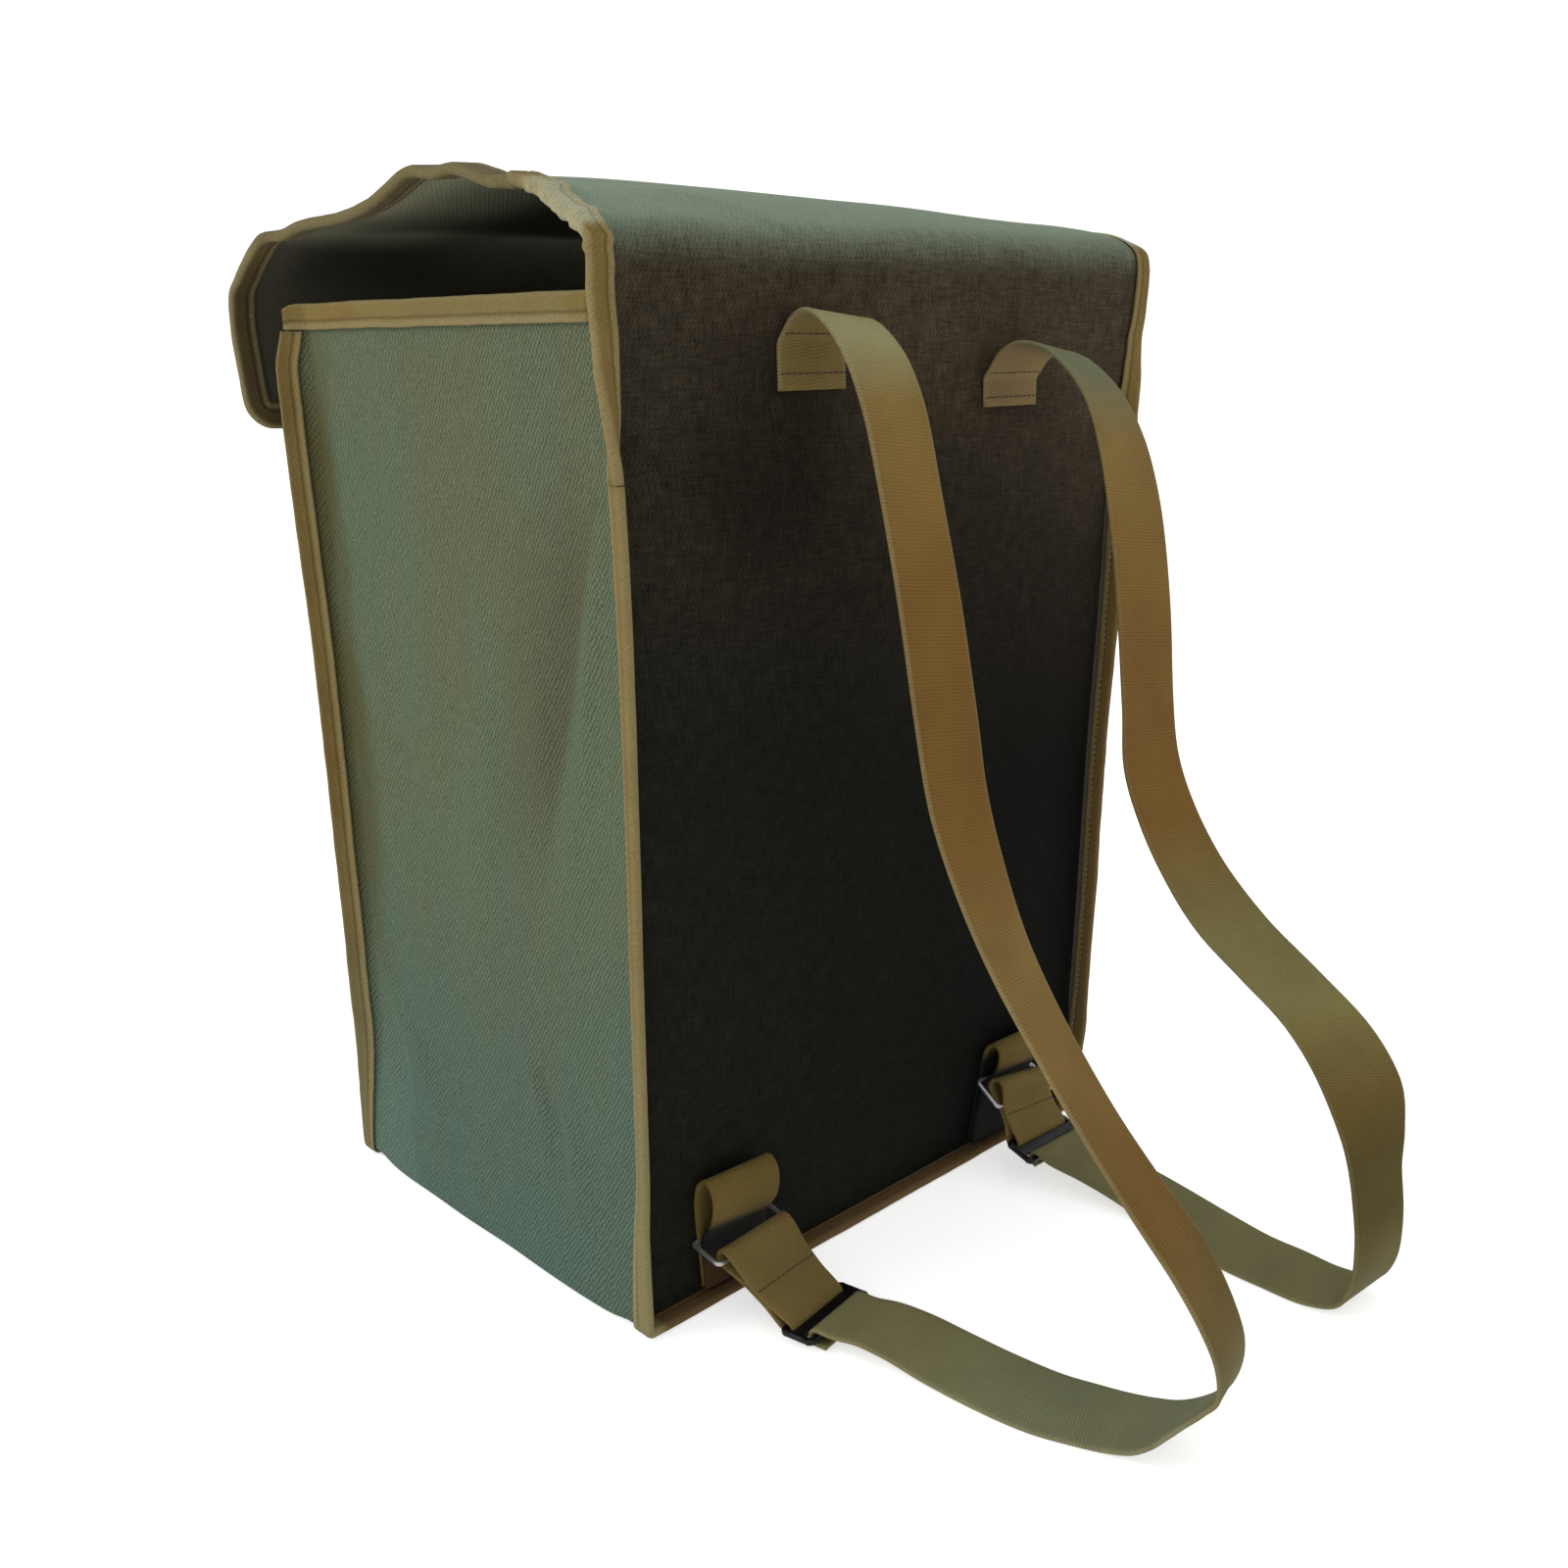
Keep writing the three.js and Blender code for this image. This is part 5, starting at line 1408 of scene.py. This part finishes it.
def sewn_stop(x, z, out, width):
    edges = (x + width / 2, x - width / 2)
    right, left = [settled((edge, back_face(edge, z) + out, z)) for edge in edges]
    return (right + left) / 2, (right - left).normalized()


def keeper_stops(keeper):
    folds = [Vector((0, out, z)) for out, z in keeper.folds]
    stops = []
    for share in spread(0, 1, KEEPER_STEPS):
        _, out, z = bend_line(folds, share)
        lean = keeper.lean * (z - keeper.folds[0][1]) / KEEPER_HEIGHT
        stops.append(sewn_stop(keeper.x + lean, z, out + SEWN_GAP, LOOP_WIDTH))
    return stops


def slider_turn(slider):
    slope = Euler((math.radians(-slider.slope), 0, 0)).to_matrix()
    yaw = Euler((0, 0, math.radians(slider.yaw))).to_matrix()
    return yaw @ slope


def on_slider(slider, along, up):
    return slider_turn(slider) @ Vector((0, along, up)) + Vector((slider.x, slider.y, slider.z))


def slider_across(slider):
    return slider_turn(slider) @ Vector((1, 0, 0))


def end_loop_gap(share):
    """How far each layer of an end loop lies off its middle, from the ring to the slider."""
    low, high = END_LOOP_SEWN
    if share < low:
        return lerp(END_LOOP_PINCH, RING_FOLD, smoothstep(low - share, 0, low))
    return lerp(END_LOOP_PINCH, BAR_FOLD, smoothstep(share - high, 0, 1 - high))


def end_loop_stops(ring, slider):
    bar = Vector((ring.x, *(ring.lower + ring.slack)))
    slider_bar = on_slider(slider, LOOP_BAR_AT, 0)
    across = Vector((1, 0, END_LOOP_TILT * ring.tilt)).normalized()
    run = slider_bar - bar
    run -= across * run.dot(across)
    run.normalize()
    up = across.cross(run)
    bar_across = slider_across(slider)

    def arc(centre, radius, start, share):
        turns = spread(start, start + math.pi, END_FOLD_STEPS)
        points = [centre + radius * (run * math.cos(angle) + up * math.sin(angle)) for angle in turns]
        return [(point, across.lerp(bar_across, share).normalized()) for point in points]

    def layer(side, shares):
        points = [bar.lerp(slider_bar, share) + up * side * end_loop_gap(share) for share in shares]
        ways = [across.lerp(bar_across, share).normalized() for share in shares]
        return list(zip(points, ways))

    shares = spread(0, 1, END_LAYER_STEPS)[1:-1]
    return (arc(bar, RING_FOLD, math.pi / 2, 0) + layer(-1, shares)
            + arc(slider_bar, BAR_FOLD, -math.pi / 2, 1) + layer(1, shares[::-1]))


def strap_stops(sewn, bends, slider, tail_length):
    out = SEWN_GAP + WEBBING / 2
    heights = spread(sewn.low, sewn.high, STRAP_SEWN_STEPS)
    start = [sewn_stop(sewn.x, z, out, STRAP_WIDTH) for z in heights]
    rows = [Bend(*start[i][0], 0, 0) for i in (0, -1)] + bends
    for lead in STRAP_LEADS:
        rows.append(Bend(*on_slider(slider, STRAP_BAR_AT + lead, BAR_FOLD), 0, slider.yaw))
    path = [Vector((row.x, row.y, row.z)) for row in rows]
    swing = [Vector((row.lift, row.turn, i)) for i, row in enumerate(rows)]
    last = len(rows) - 1
    hanging = []
    for share in spread(1 / last, 1, (last - 1) * STRAP_BEND_STEPS)[1:]:
        lift, turn, _ = [math.radians(value) for value in bend_line(swing, share)]
        level = Vector((math.cos(turn), math.sin(turn), 0)) * math.cos(lift)
        hanging.append((bend_line(path, share), level - Vector((0, 0, math.sin(lift)))))
    turns = spread(math.pi / 2, 1.5 * math.pi, STRAP_FOLD_STEPS)
    round_bar = [(BAR_FOLD * math.cos(turn), BAR_FOLD * math.sin(turn)) for turn in turns]
    round_bar += [(along, -BAR_FOLD) for along in spread(0, tail_length, STRAP_TAIL_STEPS)[1:]]
    bar_across = slider_across(slider)
    return start + hanging + [
        (on_slider(slider, STRAP_BAR_AT + along, up), bar_across) for along, up in round_bar
    ]


# Steel
def ring_wire(side, ring):
    across = Vector((1, 0, ring.tilt)).normalized()
    upper, lower = [Vector((ring.x, bar.x, bar.y)) for bar in (ring.upper, ring.lower)]
    down = (lower - upper).normalized()
    half_height = (lower - upper).length / 2 - RING_CORNER
    half_width_inside = RING_WIDTH / 2 - WIRE / 2 - RING_CORNER
    centre = (upper + lower) / 2
    path = []
    for quarter, (sx, sy) in enumerate(((1, 1), (-1, 1), (-1, -1), (1, -1))):
        corner = centre + across * sx * half_width_inside + down * sy * half_height
        for angle in spread(quarter * math.pi / 2, (quarter + 1) * math.pi / 2, RING_CORNER_STEPS):
            way = across * math.cos(angle) + down * math.sin(angle)
            path.append((corner + way * RING_CORNER, way))
    path.append(path[0])
    square = across.cross(down)

    def place(row, column):
        middle, way = path[row]
        angle = 2 * math.pi * column / WIRE_SIDES
        return middle + WIRE / 2 * (way * math.cos(angle) + square * math.sin(angle)), (0, 0)

    bm = cut_panel(len(path) - 1, WIRE_SIDES, place)
    bmesh.ops.remove_doubles(bm, verts=bm.verts, dist=1e-6)
    bmesh.ops.recalc_face_normals(bm, faces=bm.faces)
    piece = piece_from(bm, "ring_wire_" + side, RING_STEEL)
    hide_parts("ring_" + side)
    return piece


def rounded(bm, edges, offset, segments):
    bmesh.ops.bevel(
        bm, geom=edges, offset=offset, affect="EDGES", segments=segments, profile=0.5, material=-1)


def put_in_order(bm):
    """Merges doubled points and sorts the faces, which bevels leave in another order each run."""
    bmesh.ops.remove_doubles(bm, verts=bm.verts, dist=SAME_PLACE)
    bmesh.ops.dissolve_degenerate(bm, edges=bm.edges, dist=SAME_PLACE)
    places = {vert: tuple(round(value, 4) for value in vert.co) for vert in bm.verts}
    rings = []
    for face in bm.faces:
        ring = [places[vert] for vert in face.verts]
        first = ring.index(min(ring))
        rings.append(ring[first:] + ring[:first])
    bm.clear()
    corners = {place: bm.verts.new(place) for place in sorted(places.values())}
    for ring in sorted(rings):
        bm.faces.new([corners[place] for place in ring])


def slider_plate(side, slider):
    """A three-bar slider: a flat plate with two slots, thickened and rounded."""
    half, bar, ys = SLIDER_WIDTH / 2, SLIDER_BAR, SLIDER_CUTS
    xs = [-half, bar - half, half - bar, half]
    columns, rows = len(xs) - 1, len(ys) - 1
    bm = bmesh.new()
    bmesh.ops.create_grid(bm, x_segments=columns, y_segments=rows, size=0.5)
    for vert in bm.verts:
        x, y = xs[round((vert.co.x + 0.5) * columns)], ys[round((vert.co.y + 0.5) * rows)]
        vert.co = Vector((x, y, -bar / 2))
    centres = [(face, face.calc_center_median()) for face in bm.faces]
    between = [(face, at.y) for face, at in centres if abs(at.x) < 1]
    slots = [face for face, y in between if ys[1] < y < ys[2] or ys[3] < y < ys[4]]
    bmesh.ops.delete(bm, geom=slots, context="FACES")
    raised = bmesh.ops.extrude_face_region(bm, geom=bm.faces[:])["geom"]
    top = [item for item in raised if isinstance(item, bmesh.types.BMVert)]
    bmesh.ops.translate(bm, vec=(0, 0, bar), verts=top)
    bmesh.ops.recalc_face_normals(bm, faces=bm.faces)
    upright = [edge for edge in bm.edges if abs(edge.verts[0].co.z - edge.verts[1].co.z) > 1]
    at_end = [edge for edge in upright if edge.verts[0].co.y in (ys[0], ys[-1])]
    rounded(bm, [edge for edge in at_end if abs(edge.verts[0].co.x) == half], SLIDER_CORNER, 5)
    rounded(bm, [edge for edge in bm.edges if edge.calc_face_angle(0) > SHARP_ANGLE], SLIDER_BEVEL, 3)
    put_in_order(bm)
    place = Matrix.Translation((slider.x, slider.y, slider.z)) @ slider_turn(slider).to_4x4()
    bm.transform(Matrix.Scale(MM, 4) @ place)
    piece = piece_from(bm, "slider_plate_" + side, SLIDER_STEEL)
    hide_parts("slider_" + side)
    return piece


gusset_cloth()
front_cloth()
back_flap_cloth()
front_seam = seam_stops(FRONT_SEAM_TOP, TAPE_STEP)
back_seam = seam_stops(TAPE_JOINT_HEIGHT - TAPE_JOINT_GAP, TAPE_STEP)
folded_tape("front_seam_binding", [seam_stop(stop, -1) for stop in front_seam])
folded_tape("back_seam_binding", [seam_stop(stop, 1) for stop in back_seam])
folded_tape("flap_binding", flap_tape_stops(), flap_gather)
folded_tape("front_mouth_binding", front_mouth_stops())
folded_tape("mouth_binding_right", side_mouth_stops(1))
folded_tape("mouth_binding_left", side_mouth_stops(-1))

for side, (keeper, ring, slider) in HARDWARE.items():
    folds = keeper_stops(keeper)
    webbing_strip(
        "keeper_web_" + side, "keeper_loop_" + side, folds, LOOP_WIDTH, KEEPER_WEB[side])
    ring_wire(side, ring)
    loop = end_loop_stops(ring, slider)
    runs, ups = webbing_strip(
        "end_web_" + side, "end_loop_" + side, loop, LOOP_WIDTH, END_LOOP_WEB, closed=True)
    sewn_at = [runs[END_SEWN_STOP]]
    cross_stitches("end_stitches_" + side, loop, runs, ups, sewn_at, LOOP_WIDTH, [-1])
    slider_plate(side, slider)
    sewn, bends = STRAPS[side]
    stops = strap_stops(sewn, bends, slider, STRAP_TAIL[side])
    runs, ups = webbing_strip(
        "strap_web_" + side, "strap_" + side, stops, STRAP_WIDTH, STRAPPING[side])
    cross_stitches("strap_stitches_" + side, stops, runs, ups, sewn.stitches, STRAP_WIDTH, [-1, 1])

# Studio: a pale floor and soft light
floor_grid = bmesh.new()
bmesh.ops.create_grid(floor_grid, x_segments=1, y_segments=1, size=FLOOR_REACH)
floor_paint = Finish(
    "pale floor", Roughness=0.9, Specular_IOR_Level=0.1, Base_Color=(0.60, 0.60, 0.59, 1),
    Emission_Color=(1, 1, 1, 1), Emission_Strength=0.60)
in_scene("floor", mesh_from(floor_grid, "floor", floor_paint.material))

window = bpy.data.lights.new("window", "AREA")
window.shape = "DISK"
window.size = 1.8
window.energy = 40
window.color = (1.0, 0.98, 0.94)
lamp = in_scene("window", window)
lamp.location = WINDOW_AT
lamp.rotation_euler = (WINDOW_AIM - WINDOW_AT).to_track_quat("-Z", "Y").to_euler()

world = bpy.data.worlds.new("studio")
world.use_nodes = True
bpy.context.scene.world = world
air = world.node_tree.nodes["Background"]
air.inputs["Color"].default_value = (1, 1, 1, 1)
air.inputs["Strength"].default_value = 1.15
bpy.context.scene.view_settings.view_transform = "Standard"
bpy.context.scene.view_settings.look = "None"

bpy.context.view_layer.update()
